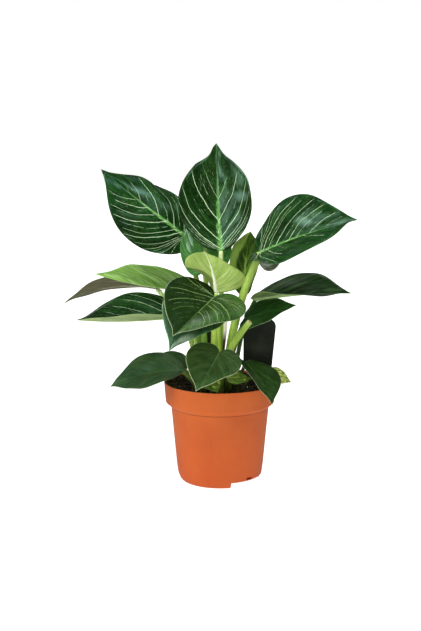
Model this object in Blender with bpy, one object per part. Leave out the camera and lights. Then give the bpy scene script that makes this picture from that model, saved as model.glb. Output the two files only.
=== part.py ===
"""Potted variegated philodendron: plastic nursery pot, potting soil, crown, leaf stalks, leaf blades
and a plant label. Blender 4.5, run with: blender --background --python part.py

World frame: +Z up, -Y is the front, origin at the bottom centre of the pot.
Sizes below are in millimetres and degrees; MM turns them into metres."""
import math

import bmesh
import bpy
import numpy as np

MM = 0.001

# Pot, a 12 cm nursery pot
POT_HEIGHT = 107.0
RIM_RADIUS = 60.0  # outside, at the lip
LIP_ROUND = 1.0  # radius of the lip's rounded edge
BAND_BOTTOM = 85.5  # lower edge of the plain band under the lip
BAND_TAPER = 1.6  # how much narrower the band is at its lower edge
SHOULDER_DROP = 5.0  # height of the sloping shoulder under the band
BODY_TOP_RADIUS = 52.3
BODY_FOOT_RADIUS = 46.4
FOOT_BEND = 15.0  # height at which the wall starts to turn in to the foot
FOOT_RADIUS = 41.6
FOOT_RING = 2.2  # width of the flat ring that the pot rests on
WALL = 1.4
BASE_UNDERSIDE = 7.0  # height of the raised ring of the base, between the foot and the pad
PAD_RADIUS = 20.0  # flat pad in the middle of the base, level with the foot
PAD_SLOPE = 2.5  # how much wider the pad is at the base
FOOT_GAPS = 3
FOOT_GAP_ANGLE = 31.0
FIRST_GAP = -59.5  # direction of the middle of the first gap
FOOT_GAP_HEIGHT = 6.4
FOOT_GAP_DEPTH = 8.0  # how far a gap reaches in from the foot's edge
CUTTER_REACH = BODY_FOOT_RADIUS + 6.0  # how far out a cutter of the foot reaches
DRAIN_WIDTH = 6.0
DRAIN_START = 3.4  # how far inside the foot's edge a drain hole starts
DRAIN_RISE = 1.6  # how far it rises above the floor inside
DRAIN_TURN = 6.0  # from the middle of a foot gap to its drain hole
SLOT_WIDTH = 3.0  # slots in the base, between the foot gaps
SLOT_LENGTH = 12.0
SLOT_END = 36.5  # distance of a slot's outer end from the axis
TURNED_STEPS = 48

# Soil
CUT_PAST = 1.0  # how far a cutter runs past what it cuts
CLEARANCE = 0.3  # left between pieces that touch
FACET_ROOM = 0.15  # extra for the flats of the turned wall
SOIL_EDGE = 96.0  # height of the soil at the wall
SOIL_DOME = 3.0  # how much higher the soil is at the crown

# Crown and stalks
CROWN_HEIGHT = 24.0
CROWN_RADIUS = 5.6
STALK_SIDES = 2  # bevel resolution, which gives eight sides
STALK_STEPS = 9
STALK_REACH = 0.36  # length of a stalk's curve handles, as a share of its chord
STEEPEST_LEAN = 75.0
BLADE_THICKNESS = 0.8
BLADE_ROWS = 10  # veins along each half of a blade
BLADE_COLUMNS = 3  # faces from the midrib to the margin
BASE_VEINS = 0.24  # share of the outline whose veins all start where the stalk meets the blade
NEAR_BASE = 0.35  # share of the blade's length over which it cups
SEAT_MARGIN = 0.08  # extra room where a stalk ends under its blade
SEAT_STEP = 0.1
SEAT_LIMIT = 14.0

# Label
LABEL = dict(x=35.2, y=16, width=35, top=172.5, corner=9, head_bottom=111, head_slope=8,
             head_taper=2.0, stake_width=9, stake_bottom=62, stake_point=8, thickness=0.9, lean=2.7)

# Cut stalk
CUT_STALK = dict(foot=(267, 19), top=(30.5, -32, 177), lean=1.7, stalk=(5.0, 3.2))

# Leaves. at: where the stalk meets the blade. turn: compass heading of the midrib, 0 along +X and
# 90 along +Y. pitch: how far it points up. roll: right edge up. half: half the width. lobe: depth of
# the basal lobes. wide: where along the blade it is widest. tip: fullness near the tip. arch: how far
# the midrib bends down by the tip, with sweep to the right and twist. fold, curl and cup: how far the
# left and right halves rise from the midrib, bend towards the margin, and bend there near the base.
# foot: direction and distance of the stalk's foot from the crown. stalk: radii at foot and top.
LEAF_DEFAULTS = dict(lean=1.5, lobe=9, wide=0.31, tip=0.20, arch=15, sweep=0, twist=0, fold=(12, 12),
                     curl=(0, 0), cup=(0, 0), stalk=(3.2, 2.5))
LEAVES = {
    "top": dict(at=(1, 28, 244), turn=101, pitch=70, roll=15, length=121, half=44, lobe=2, wide=0.44,
                tip=0.29, arch=0, sweep=3, fold=(12, 24), curl=(2, 13), foot=(84, 17)),
    "upper_left": dict(at=(-39, 56, 258), turn=177, pitch=36, roll=65, length=117, half=43, lobe=14,
                       wide=0.40, tip=0.26, arch=4, sweep=6, twist=-8, fold=(0, -7),
                       curl=(-4, -36), foot=(118, 17)),
    "upper_right": dict(at=(42, 8, 244), turn=-40, pitch=24, roll=-45, length=125, half=48, lobe=10,
                        wide=0.38, tip=0.24, arch=11, sweep=2, twist=-14, fold=(21, 24),
                        curl=(1, -3), cup=(0, 21), lean=1.9, foot=(308, 12.2), stalk=(4.8, 4.0)),
    "young": dict(at=(-5, -8, 203.5), turn=287, pitch=110, roll=-20, length=54, half=44, lobe=0.2,
                  wide=0.35, arch=-39, sweep=-9, twist=7, fold=(-2, -20), curl=(6, 6),
                  cup=(9, -140), foot=(267, 10.3)),
    "inner": dict(at=(-17, 31, 223), turn=79, pitch=70, roll=6, length=93, half=29, lobe=10,
                  wide=0.29, arch=9, fold=(6, -30), curl=(-4, 0), foot=(137, 9.5)),
    "unrolling": dict(at=(26, 28, 195), turn=81, pitch=86, roll=25, length=70, half=19, lobe=1,
                      wide=0.53, tip=0.82, arch=12, sweep=5, fold=(12, 16), foot=(47, 9.5)),
    "front_large": dict(at=(-6, -37.5, 204), turn=246, pitch=-14, roll=15, length=103, half=43,
                        lobe=16, wide=0.28, arch=-1, twist=-8, fold=(9, 15), curl=(-7, 17),
                        foot=(230, 11.5)),
    "front_glossy": dict(at=(-17, -34, 184.4), turn=249, pitch=9, roll=7, length=101, half=34,
                         lobe=8, wide=0.33, arch=41, sweep=-8, twist=14, fold=(9, 23), curl=(-1, 2),
                         foot=(216, 21.5)),
    "left_bright": dict(at=(-36, 10, 204), turn=177, pitch=3, roll=-18, length=102, half=37,
                        lobe=10, arch=-14, sweep=5, twist=-14, fold=(32, 22), curl=(-19, -10),
                        foot=(170, 17)),
    "left_far": dict(at=(-69, 60, 198), turn=167, pitch=11, roll=-25, length=112, half=32, lobe=6,
                     arch=45, sweep=3, twist=3, fold=(11, 8), curl=(-9, 8), foot=(144, 17)),
    "left_striped": dict(at=(-39, -9, 179), turn=202, pitch=-4, roll=13, length=120, half=42,
                         lobe=3, wide=0.34, arch=-14, sweep=-5, twist=-3, fold=(36, 25),
                         curl=(-13, -3), foot=(193, 23)),
    "low_left": dict(at=(-41, -11, 121), turn=180, pitch=-1, roll=14, length=80, half=36, lobe=4,
                     wide=0.35, arch=27, twist=26, fold=(12, 7), curl=(5, -8), foot=(200, 28),
                     stalk=(2.6, 2.0)),
    "low_back": dict(at=(-37, 28, 113), turn=172, pitch=24, roll=22, length=43, half=18, lobe=2,
                     wide=0.33, arch=13, sweep=-7, twist=8, fold=(12, 18), foot=(156, 25),
                     stalk=(2.2, 1.6)),
    "low_front": dict(at=(-1, -44, 147), turn=249, pitch=-25, roll=17, length=68, half=29, lobe=9,
                      wide=0.28, arch=-1, sweep=3, twist=-10, fold=(12, 12), curl=(-8, 1),
                      foot=(252, 25), stalk=(2.8, 2.2)),
    "low_right": dict(at=(27, -15, 130), turn=301, pitch=-23, roll=17, length=71, half=27, lobe=5,
                      arch=11, sweep=10, fold=(17, 14), curl=(3, 14), foot=(322, 24),
                      stalk=(2.6, 2.0)),
    "right_high": dict(at=(38, 34, 189), turn=-18, pitch=12, roll=-2, length=112, half=39, lobe=4,
                       wide=0.34, arch=8, sweep=15, twist=-24, fold=(22, 21), curl=(-6, 6),
                       foot=(60, 17)),
    "right_low": dict(at=(27, 6, 174), turn=-32, pitch=18, roll=-41, length=65, half=27, lobe=5,
                      wide=0.27, arch=1, twist=5, fold=(-1, 9), curl=(-14, 11), foot=(20, 17),
                      stalk=(2.8, 2.2)),
    "small_right": dict(at=(51, -6, 117.2), turn=1, pitch=-19, roll=-57, length=30, half=9, lobe=2,
                        arch=29, sweep=-3, fold=(11, 11), foot=(348, 26), stalk=(1.5, 1.1)),
    "small_front": dict(at=(-16, -34.5, 115.5), turn=303, pitch=-13, roll=-7, length=27, half=13,
                        lobe=2, arch=9, sweep=6, fold=(8, 6), foot=(225, 28), stalk=(1.5, 1.1)),
    "small_inner": dict(at=(7, -38, 119), turn=2, pitch=-1, roll=-42, length=26, half=9, lobe=1,
                        arch=15, sweep=-8, fold=(5, 6), foot=(286, 28), stalk=(1.5, 1.1)),
}

COLOURS = {
    "terracotta_plastic": ((0.60, 0.145, 0.045), 0.45),
    "potting_soil": ((0.020, 0.012, 0.008), 0.95),
    "leaf_green": ((0.018, 0.085, 0.022), 0.35),
    "young_leaf_green": ((0.30, 0.42, 0.08), 0.40),
    "stalk_green": ((0.24, 0.38, 0.06), 0.40),
    "black_plastic": ((0.010, 0.011, 0.010), 0.40),
}


def material(name):
    """The Principled material of that name, made the first time that it is asked for."""
    found = bpy.data.materials.get(name)
    if found:
        return found
    colour, roughness = COLOURS[name]
    made = bpy.data.materials.new(name)
    made.use_nodes = True
    shader = made.node_tree.nodes["Principled BSDF"]
    shader.inputs["Base Color"].default_value = (*colour, 1.0)
    shader.inputs["Roughness"].default_value = roughness
    shader.inputs["Metallic"].default_value = 0.0
    return made


def add_object(name, data, finish):
    """Links a mesh or a curve to the scene as a named object with its finish."""
    made = bpy.data.objects.new(name, data)
    bpy.context.scene.collection.objects.link(made)
    data.materials.append(material(finish))
    return made


def mesh_from(name, points, faces):
    """A mesh from points in millimetres, with points that coincide merged and normals out."""
    shape = bmesh.new()
    corners = [shape.verts.new(np.asarray(point) * MM) for point in points]
    for face in faces:
        shape.faces.new([corners[index] for index in face])
    bmesh.ops.remove_doubles(shape, verts=shape.verts, dist=1e-6)
    bmesh.ops.recalc_face_normals(shape, faces=shape.faces)
    mesh = bpy.data.meshes.new(name)
    shape.to_mesh(mesh)
    shape.free()
    return mesh


def turned(name, profile, finish, closed=True):
    """Turns a profile of (radius, height) points about the Z axis with a Screw modifier."""
    mesh = bpy.data.meshes.new(name)
    points = [(radius * MM, 0.0, height * MM) for radius, height in profile]
    count = len(points)
    edges = [(i, (i + 1) % count) for i in range(count if closed else count - 1)]
    mesh.from_pydata(points, edges, [])
    made = add_object(name, mesh, finish)
    screw = made.modifiers.new("Turn", "SCREW")
    screw.steps = TURNED_STEPS
    screw.render_steps = TURNED_STEPS
    screw.use_merge_vertices = True
    screw.merge_threshold = 1e-6
    screw.use_smooth_shade = True
    return made


def cut(made, cutter, name):
    """Cuts the cutter out of the object and hides it."""
    boolean = made.modifiers.new(name, "BOOLEAN")
    boolean.operation = "DIFFERENCE"
    boolean.solver = "EXACT"
    boolean.object = cutter
    cutter.hide_render = True
    cutter.display_type = "WIRE"


def prism(name, outline, bottom, top):
    """A closed prism over a flat outline of (x, y) points."""
    count = len(outline)
    points = [(x, y, z) for z in (bottom, top) for x, y in outline]
    faces = [range(count - 1, -1, -1), range(count, 2 * count)]
    faces += [(i, (i + 1) % count, count + (i + 1) % count, count + i) for i in range(count)]
    return mesh_from(name, points, faces)


def arc(radius, start, end, steps):
    """Points on a circle about the Z axis, from one direction to another."""
    turns = np.radians(np.linspace(start, end, steps + 1))
    return [(radius * math.cos(turn), radius * math.sin(turn)) for turn in turns]


def inner_floor():
    """Inside of the pot's base from the axis over the pad, as (radius, height) points."""
    return [
        (0.0, WALL),
        (PAD_RADIUS - WALL * 0.7, WALL),
        (PAD_RADIUS + PAD_SLOPE - WALL * 0.7, BASE_UNDERSIDE + WALL),
    ]


def inner_wall():
    """Inside of the pot from the floor to the lip, as (radius, height) points."""
    floor = BASE_UNDERSIDE + WALL
    return [
        (FOOT_RADIUS - WALL, floor),
        (BODY_FOOT_RADIUS - WALL, FOOT_BEND + 1.0),
        (BODY_TOP_RADIUS - WALL, BAND_BOTTOM - SHOULDER_DROP + WALL * 0.4),
        (RIM_RADIUS - BAND_TAPER - WALL, BAND_BOTTOM + WALL * 0.6),
        (RIM_RADIUS - WALL - 0.4, POT_HEIGHT - 0.7 * LIP_ROUND),
    ]


def build_pot():
    """Thin turned wall with a band under the lip, and a foot ring broken by three gaps."""
    outside = [
        (RIM_RADIUS - LIP_ROUND, POT_HEIGHT),
        (RIM_RADIUS - 0.3 * LIP_ROUND, POT_HEIGHT - 0.3 * LIP_ROUND),
        (RIM_RADIUS, POT_HEIGHT - LIP_ROUND),
        (RIM_RADIUS - BAND_TAPER, BAND_BOTTOM),
        (RIM_RADIUS - BAND_TAPER - 0.8, BAND_BOTTOM - 0.9),
        (BODY_TOP_RADIUS + 0.5, BAND_BOTTOM - SHOULDER_DROP + 0.6),
        (BODY_TOP_RADIUS, BAND_BOTTOM - SHOULDER_DROP - 0.3),
        (BODY_FOOT_RADIUS, FOOT_BEND),
        (BODY_FOOT_RADIUS - 0.9, FOOT_BEND - 6.0),
        (BODY_FOOT_RADIUS - 2.4, FOOT_BEND - 10.5),
        (FOOT_RADIUS, 0.0),
    ]
    underside = [
        (FOOT_RADIUS - FOOT_RING, 0.0),
        (FOOT_RADIUS - FOOT_RING - 0.6, BASE_UNDERSIDE),
        (PAD_RADIUS + PAD_SLOPE, BASE_UNDERSIDE),
        (PAD_RADIUS, 0.0),
        (0.0, 0.0),
    ]
    pot = turned("pot", outside + underside + inner_floor() + inner_wall(), "terracotta_plastic")
    for index in range(FOOT_GAPS):
        middle = FIRST_GAP + index * 360.0 / FOOT_GAPS
        cut(pot, gap_cutter(f"foot_gap_{index + 1}", middle), f"Foot gap {index + 1}")
        drain = box_cutter(f"drain_{index + 1}", FOOT_RADIUS - DRAIN_START, CUTTER_REACH, DRAIN_WIDTH,
                           FOOT_GAP_HEIGHT - CUT_PAST, BASE_UNDERSIDE + WALL + DRAIN_RISE,
                           middle + DRAIN_TURN)
        cut(pot, drain, f"Drain {index + 1}")
        slot = box_cutter(f"slot_{index + 1}", SLOT_END - SLOT_LENGTH, SLOT_END, SLOT_WIDTH,
                          BASE_UNDERSIDE - CUT_PAST, BASE_UNDERSIDE + WALL + CUT_PAST,
                          middle + 180.0 / FOOT_GAPS)
        cut(pot, slot, f"Slot {index + 1}")
    return pot


def gap_cutter(name, middle):
    """A wedge that breaks the foot ring, wider than the ring on both sides."""
    start, end = middle - FOOT_GAP_ANGLE / 2, middle + FOOT_GAP_ANGLE / 2
    wedge = arc(CUTTER_REACH, start, end, 4) + arc(FOOT_RADIUS - FOOT_GAP_DEPTH, end, start, 2)
    return add_object(name, prism(name, wedge, -CUT_PAST, FOOT_GAP_HEIGHT), "terracotta_plastic")


def box_cutter(name, near, far, width, bottom, top, turn):
    """A box that lies along the direction turn, from one distance to another."""
    outline = [(near, -width / 2), (far, -width / 2), (far, width / 2), (near, width / 2)]
    made = add_object(name, prism(name, outline, bottom, top), "terracotta_plastic")
    made.rotation_euler.z = math.radians(turn)
    return made


def soil_height(radius):
    """Height of the soil's domed top at a distance from the axis."""
    return SOIL_EDGE + SOIL_DOME * (1.0 - (radius / RIM_RADIUS) ** 2)


def soil_wall(height):
    """Radius of the soil at a height, a clearance inside the pot's wall."""
    radii, heights = zip(*inner_wall())
    return float(np.interp(height, heights, radii)) - CLEARANCE - FACET_ROOM


def build_soil(label_slot):
    """Root ball and soil, which fill the pot up to a domed top."""
    room = CLEARANCE + FACET_ROOM
    floor = BASE_UNDERSIDE + WALL + CLEARANCE
    base = [(max(radius - room, 0.0), height + CLEARANCE) for radius, height in inner_floor()]
    bends = [height for _, height in inner_wall()[1:-1]]
    sides = [(soil_wall(height), height) for height in reversed(bends)]
    edge = soil_wall(SOIL_EDGE)
    profile = [(radius, soil_height(radius)) for radius in (0.0, edge / 2, edge)]
    profile += sides + [(soil_wall(floor), floor)] + list(reversed(base))
    soil = turned("potting_soil", profile, "potting_soil", closed=False)
    cut(soil, label_slot, "Label slot")
    return soil


def build_crown():
    """Short thick stem that the stalks stand around."""
    foot = soil_height(0.0) + CLEARANCE
    profile = [
        (0.0, foot + CROWN_HEIGHT),
        (CROWN_RADIUS * 0.55, foot + CROWN_HEIGHT * 0.95),
        (CROWN_RADIUS * 0.85, foot + CROWN_HEIGHT * 0.5),
        (CROWN_RADIUS, foot),
        (0.0, foot),
    ]
    return turned("crown", profile, "stalk_green", closed=False)


def label_outline(grow=0.0):
    """Outline of the label in its own plane, as (x, z) points from the head's middle."""
    half = LABEL["width"] / 2 + grow
    stake = LABEL["stake_width"] / 2 + grow
    corner = LABEL["corner"]
    bend = np.radians(np.linspace(0.0, 90.0, 5))
    right = [(half - corner + corner * math.cos(t), LABEL["top"] - corner + corner * math.sin(t))
             for t in bend]
    left = [(-x, z) for x, z in reversed(right)]
    shoulder = LABEL["head_bottom"]
    bottom = LABEL["stake_bottom"] - 2 * grow
    return right + left + [
        (-half + LABEL["head_taper"], shoulder + LABEL["head_slope"]),
        (-stake, shoulder),
        (-stake, bottom + LABEL["stake_point"]),
        (0.0, bottom),
        (stake, bottom + LABEL["stake_point"]),
        (stake, shoulder),
        (half - LABEL["head_taper"], shoulder + LABEL["head_slope"]),
    ]


def label_plate(name, grow, finish):
    """The label as a flat plate, or grown by a clearance as the cutter of its slot."""
    thick = LABEL["thickness"] / 2 + grow
    mesh = prism(name, label_outline(grow), -thick, thick)
    made = add_object(name, mesh, finish)
    made.rotation_euler = (math.radians(90.0), math.radians(LABEL["lean"]), 0.0)
    made.location = (LABEL["x"] * MM, LABEL["y"] * MM, 0.0)
    return made


def bezier(ends, t):
    """Points at t on the cubic curve with the four control points in ends."""
    a, b, c, d = (np.asarray(end, float) for end in ends)
    t = np.asarray(t, float)[..., None]
    return (1 - t) ** 3 * a + 3 * (1 - t) ** 2 * t * b + 3 * (1 - t) * t ** 2 * c + t ** 3 * d


def blade_outline(leaf, samples=60):
    """Right half of the blade's outline, from the stalk round the lobe to the tip."""
    length, half, lobe = leaf["length"], leaf["half"], leaf["lobe"]
    widest = leaf["wide"] * length
    lobe_curve = ((0, 0), (0.30 * half, -2.0 * lobe), (half, widest - 0.62 * (widest + lobe)),
                  (half, widest))
    tip_curve = ((half, widest), (half, widest + 0.42 * (length - widest)),
                 (leaf["tip"] * half, length - 0.30 * (length - widest)), (0, length))
    t = np.linspace(0.0, 1.0, samples)
    return np.vstack([bezier(lobe_curve, t), bezier(tip_curve, t)[1:]])


def half_grid(leaf):
    """Flat right half of the blade as rows of points along curved veins, midrib to margin."""
    outline = blade_outline(leaf)
    run = np.concatenate([[0.0], np.cumsum(np.linalg.norm(np.diff(outline, axis=0), axis=1))])
    row = np.linspace(0.0, 1.0, BLADE_ROWS + 1)
    margin = np.stack([np.interp(row * run[-1], run, outline[:, k]) for k in (0, 1)], axis=-1)
    start = np.clip((row - BASE_VEINS) / (1.0 - BASE_VEINS), 0.0, 1.0) ** 1.15 * leaf["length"]
    midrib = np.stack([np.zeros_like(start), start], axis=-1)
    bend = np.stack([0.55 * margin[:, 0], start + 0.35 * (margin[:, 1] - start)], axis=-1)
    s = np.linspace(0.0, 1.0, BLADE_COLUMNS + 1)[None, :, None]
    return (1 - s) ** 2 * midrib[:, None] + 2 * (1 - s) * s * bend[:, None] + s ** 2 * margin[:, None]


def blade_axes(leaf, run):
    """Directions along, across and out of the blade at distances run along the midrib."""
    share = run / leaf["length"]
    down = -math.radians(leaf["arch"]) * share
    side = math.radians(leaf["sweep"]) * share
    twist = math.radians(leaf["twist"]) * share
    along = np.stack([np.sin(side) * np.cos(down), np.cos(side) * np.cos(down), np.sin(down)], -1)
    out = np.stack([-np.sin(side) * np.sin(down), -np.cos(side) * np.sin(down), np.cos(down)], -1)
    across = np.stack([np.cos(side), -np.sin(side), np.zeros_like(side)], -1)
    cos, sin = np.cos(twist)[..., None], np.sin(twist)[..., None]
    return along, across * cos + out * sin, out * cos - across * sin


def leaf_frame(leaf):
    """World directions across, along and out of the blade where it meets the stalk."""
    turn, pitch, roll = (math.radians(leaf[key]) for key in ("turn", "pitch", "roll"))
    along = np.array([math.cos(turn) * math.cos(pitch), math.sin(turn) * math.cos(pitch),
                      math.sin(pitch)])
    out = np.array([-math.cos(turn) * math.sin(pitch), -math.sin(turn) * math.sin(pitch),
                    math.cos(pitch)])
    across = np.cross(along, out)
    return (across * math.cos(roll) + out * math.sin(roll), along,
            out * math.cos(roll) - across * math.sin(roll))


def bent(leaf, flat):
    """Bends flat blade points (x across, y along) into the leaf's shape in the world."""
    x, y = flat[..., 0], flat[..., 1]
    run = np.linspace(0.0, leaf["length"], 101)
    along = blade_axes(leaf, run)[0]
    steps = (along[1:] + along[:-1]) / 2 * (leaf["length"] / 100)
    spine = np.vstack([np.zeros((1, 3)), np.cumsum(steps, axis=0)])
    held = np.clip(y, 0.0, leaf["length"])
    point = np.stack([np.interp(held, run, spine[:, k]) for k in range(3)], axis=-1)
    along, across, out = blade_axes(leaf, held)
    right = x >= 0
    fold, curl, cup = (np.where(right, leaf[key][1], leaf[key][0]) for key in ("fold", "curl", "cup"))
    near_base = np.clip(1.0 - y / (NEAR_BASE * leaf["length"]), 0.0, 1.0)
    rise = np.radians(fold + (curl + cup * near_base) * np.abs(x) / leaf["half"] / 2)
    point = point + along * (y - held)[..., None]
    point = point + across * (x * np.cos(rise))[..., None] + out * (np.abs(x) * np.sin(rise))[..., None]
    return np.array(leaf["at"], float) + point @ np.array(leaf_frame(leaf))


def build_blade(name, leaf):
    """Both halves of a blade as one bent sheet, thickened with a Solidify modifier."""
    half = half_grid(leaf)
    rows, columns = half.shape[:2]
    mirrored = half * np.array([-1.0, 1.0])
    points = np.concatenate([bent(leaf, half).reshape(-1, 3), bent(leaf, mirrored).reshape(-1, 3)])
    faces = []
    for side in range(2):
        first = side * rows * columns
        for i in range(rows - 1):
            for j in range(columns - 1):
                a = first + i * columns + j
                face = (a, a + 1, a + columns + 1, a + columns)
                faces.append(face if side == 0 else face[::-1])
    shape = bmesh.new()
    corners = [shape.verts.new(point * MM) for point in points]
    for face in faces:
        shape.faces.new([corners[index] for index in face])
    bmesh.ops.remove_doubles(shape, verts=shape.verts, dist=2e-5)
    mesh = bpy.data.meshes.new(name)
    shape.to_mesh(mesh)
    shape.free()
    finish = "young_leaf_green" if "young" in name else "leaf_green"
    made = add_object(name, mesh, finish)
    made.data.shade_smooth()
    solid = made.modifiers.new("Thickness", "SOLIDIFY")
    solid.thickness = BLADE_THICKNESS * MM
    solid.offset = 0.0
    return made


def stalk_path(foot, top, lean):
    """Control points of a stalk that leaves the soil upright and leans out to its top, and its
    direction there. It arrives lean times as far from upright as the straight line does."""
    foot, top = np.array(foot, float), np.array(top, float)
    sideways = top[:2] - foot[:2]
    spread = np.linalg.norm(sideways)
    rise = top[2] - foot[2]
    angle = min(lean * math.atan2(spread, rise), math.radians(STEEPEST_LEAN))
    flat = sideways / max(spread, 1e-6)
    arrive = np.array([flat[0] * math.sin(angle), flat[1] * math.sin(angle), math.cos(angle)])
    reach = STALK_REACH * math.hypot(spread, rise)
    return foot, foot + np.array([0.0, 0.0, reach]), top - arrive * reach, top, arrive


def blade_samples(leaf, fine=6):
    """Points spread evenly over the blade's facets, both halves."""
    half = half_grid(leaf)
    share = (np.arange(fine) + 0.5) / fine
    u, v = share[:, None, None, None, None], share[None, :, None, None, None]
    samples = []
    for side in (1.0, -1.0):
        grid = bent(leaf, half * np.array([side, 1.0]))
        near = grid[:-1, :-1] * (1 - u) + grid[:-1, 1:] * u
        far = grid[1:, :-1] * (1 - u) + grid[1:, 1:] * u
        samples.append((near * (1 - v) + far * v).reshape(-1, 3))
    return np.concatenate(samples)


def end_rings(path, radius):
    """Points on the stalk's surface and end near its top."""
    t = np.array([1.0, 0.985, 0.97, 0.94, 0.90])
    centre = bezier(path, t)
    tangent = bezier(path, t + 1e-4) - bezier(path, t - 1e-4)
    tangent /= np.linalg.norm(tangent, axis=1, keepdims=True)
    side = np.cross(tangent, [0.31, 0.95, 0.05])
    side /= np.linalg.norm(side, axis=1, keepdims=True)
    other = np.cross(tangent, side)
    turn = np.linspace(0.0, 2 * math.pi, 16, endpoint=False)
    ring = side[:, None] * np.cos(turn)[:, None] + other[:, None] * np.sin(turn)[:, None]
    surface = centre[:, None] + ring * radius
    cap = centre[0] + ring[0] * radius * 0.5
    return np.concatenate([surface.reshape(-1, 3), cap, centre[:1]])


def seat_stalk(leaf):
    """Path of a leaf's stalk, stopped as close under the blade as the clearance allows."""
    foot = foot_point(leaf["foot"])
    at = np.array(leaf["at"], float)
    arrive = stalk_path(foot, at, leaf["lean"])[4]
    blade = blade_samples(leaf)
    room = BLADE_THICKNESS / 2 + CLEARANCE + SEAT_MARGIN
    for short in np.arange(BLADE_THICKNESS / 2, SEAT_LIMIT, SEAT_STEP):
        path = stalk_path(foot, at - arrive * short, leaf["lean"])[:4]
        rings = end_rings(path, leaf["stalk"][1])
        gap = np.linalg.norm(rings[:, None] - blade[None], axis=2).min()
        if gap >= room:
            break
    return path


def foot_point(foot):
    """World point on the soil at a direction and distance from the crown."""
    direction, distance = math.radians(foot[0]), foot[1]
    return (distance * math.cos(direction), distance * math.sin(direction),
            soil_height(distance) + CLEARANCE)


def tube(name, path, radii, finish):
    """A tapering closed tube along one cubic curve."""
    curve = bpy.data.curves.new(name, "CURVE")
    curve.dimensions = "3D"
    curve.bevel_depth = MM
    curve.bevel_resolution = STALK_SIDES
    curve.resolution_u = STALK_STEPS
    curve.use_fill_caps = True
    curve.twist_mode = "MINIMUM"
    spline = curve.splines.new("BEZIER")
    spline.bezier_points.add(1)
    for end, point, handle, radius in ((0, path[0], path[1], radii[0]), (1, path[3], path[2], radii[1])):
        knot = spline.bezier_points[end]
        knot.handle_left_type = "FREE"
        knot.handle_right_type = "FREE"
        knot.co = point * MM
        knot.handle_right = (handle if end == 0 else 2 * point - handle) * MM
        knot.handle_left = (2 * point - handle if end == 0 else handle) * MM
        knot.radius = radius
    return add_object(name, curve, finish)


def build_stalk(name, leaf):
    """Stalk of one leaf, from the soil beside the crown to just under the blade."""
    return tube(name, seat_stalk(leaf), leaf["stalk"], "stalk_green")


def build_cut_stalk():
    """Stalk whose blade was cut off."""
    path = stalk_path(foot_point(CUT_STALK["foot"]), CUT_STALK["top"], CUT_STALK["lean"])[:4]
    return tube("cut_stalk", path, CUT_STALK["stalk"], "stalk_green")


def main():
    for old in list(bpy.data.objects):
        bpy.data.objects.remove(old)
    build_pot()
    slot = label_plate("label_slot", CLEARANCE, "black_plastic")
    build_soil(slot)
    build_crown()
    label_plate("plant_label", 0.0, "black_plastic")
    build_cut_stalk()
    for name, given in LEAVES.items():
        leaf = {**LEAF_DEFAULTS, **given}
        build_blade(f"{name}_blade", leaf)
        build_stalk(f"{name}_stalk", leaf)


main()
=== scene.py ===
# Potted philodendron with cream pinstripes in a terracotta-coloured nursery pot.
# Run it from Blender's text editor or in the background; lengths are millimetres until a mesh is written.
import functools
import math

import bmesh
import bpy
import numpy as np
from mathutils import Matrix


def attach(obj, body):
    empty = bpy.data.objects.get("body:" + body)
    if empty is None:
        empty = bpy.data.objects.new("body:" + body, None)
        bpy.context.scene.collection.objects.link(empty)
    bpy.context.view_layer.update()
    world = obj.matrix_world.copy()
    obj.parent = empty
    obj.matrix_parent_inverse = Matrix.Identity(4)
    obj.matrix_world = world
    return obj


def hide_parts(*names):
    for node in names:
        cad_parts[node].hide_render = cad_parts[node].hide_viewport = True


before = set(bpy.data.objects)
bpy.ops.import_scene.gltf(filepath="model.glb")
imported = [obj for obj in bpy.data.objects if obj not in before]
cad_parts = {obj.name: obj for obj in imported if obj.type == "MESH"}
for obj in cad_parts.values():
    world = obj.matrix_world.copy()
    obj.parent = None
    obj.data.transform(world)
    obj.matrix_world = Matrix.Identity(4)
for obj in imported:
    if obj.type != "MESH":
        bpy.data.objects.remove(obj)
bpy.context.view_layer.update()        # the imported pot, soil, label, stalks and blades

mm = 0.001
root = "root"
print("frame:", len(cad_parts), "nodes")


def linear(hexColour):
    # sRGB hex to linear: c/12.92 below 0.04045, else ((c + 0.055)/1.055) to the power 2.4
    parts = [int(hexColour[i:i + 2], 16) / 255.0 for i in (1, 3, 5)]
    return tuple(c / 12.92 if c <= 0.04045 else ((c + 0.055) / 1.055) ** 2.4 for c in parts) + (1.0,)


def addNode(tree, kind, *given, sockets=None, **settings):
    # one node, with its operation after a space if it has one: values or links for its inputs in order (None
    # leaves one), then by name, then its settings
    kind, *operation = kind.split()
    node = tree.nodes.new("ShaderNode" + kind)
    for key, value in (settings | ({"operation": operation[0]} if operation else {})).items():
        setattr(node, key, value)
    pairs = [(node.inputs[i], value) for i, value in enumerate(given) if value is not None]
    pairs += [(node.inputs[name], value) for name, value in (sockets or {}).items()]
    for socket, value in pairs:
        if isinstance(value, bpy.types.Node):
            value = value.outputs[0]
        if isinstance(value, bpy.types.NodeSocket):
            tree.links.new(value, socket)
        else:
            socket.default_value = linear(value) if isinstance(value, str) else value
    return node


def layer(add, colour, tone, mask, low, high, least=0.0, most=1.0):
    # a tone laid over a colour: by the first amount where the mask is low, by the second where it is high
    return add("MixRGB", add("MapRange", mask, low, high, least, most), colour, tone)


def newFinish(name):
    # an empty material, and what adds a node to it
    finish = bpy.data.materials.new(name)
    finish.use_nodes = True
    finish.node_tree.nodes.clear()
    return finish, functools.partial(addNode, finish.node_tree)


def reshape(mesh, change):
    # the mesh after one bmesh operation
    shape = bmesh.new()
    shape.from_mesh(mesh)
    change(shape)
    shape.to_mesh(mesh)
    shape.free()


def hold(piece, node=None):
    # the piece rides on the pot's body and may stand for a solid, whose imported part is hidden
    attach(piece, root)
    if node:
        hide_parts(node)
    return piece


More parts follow.
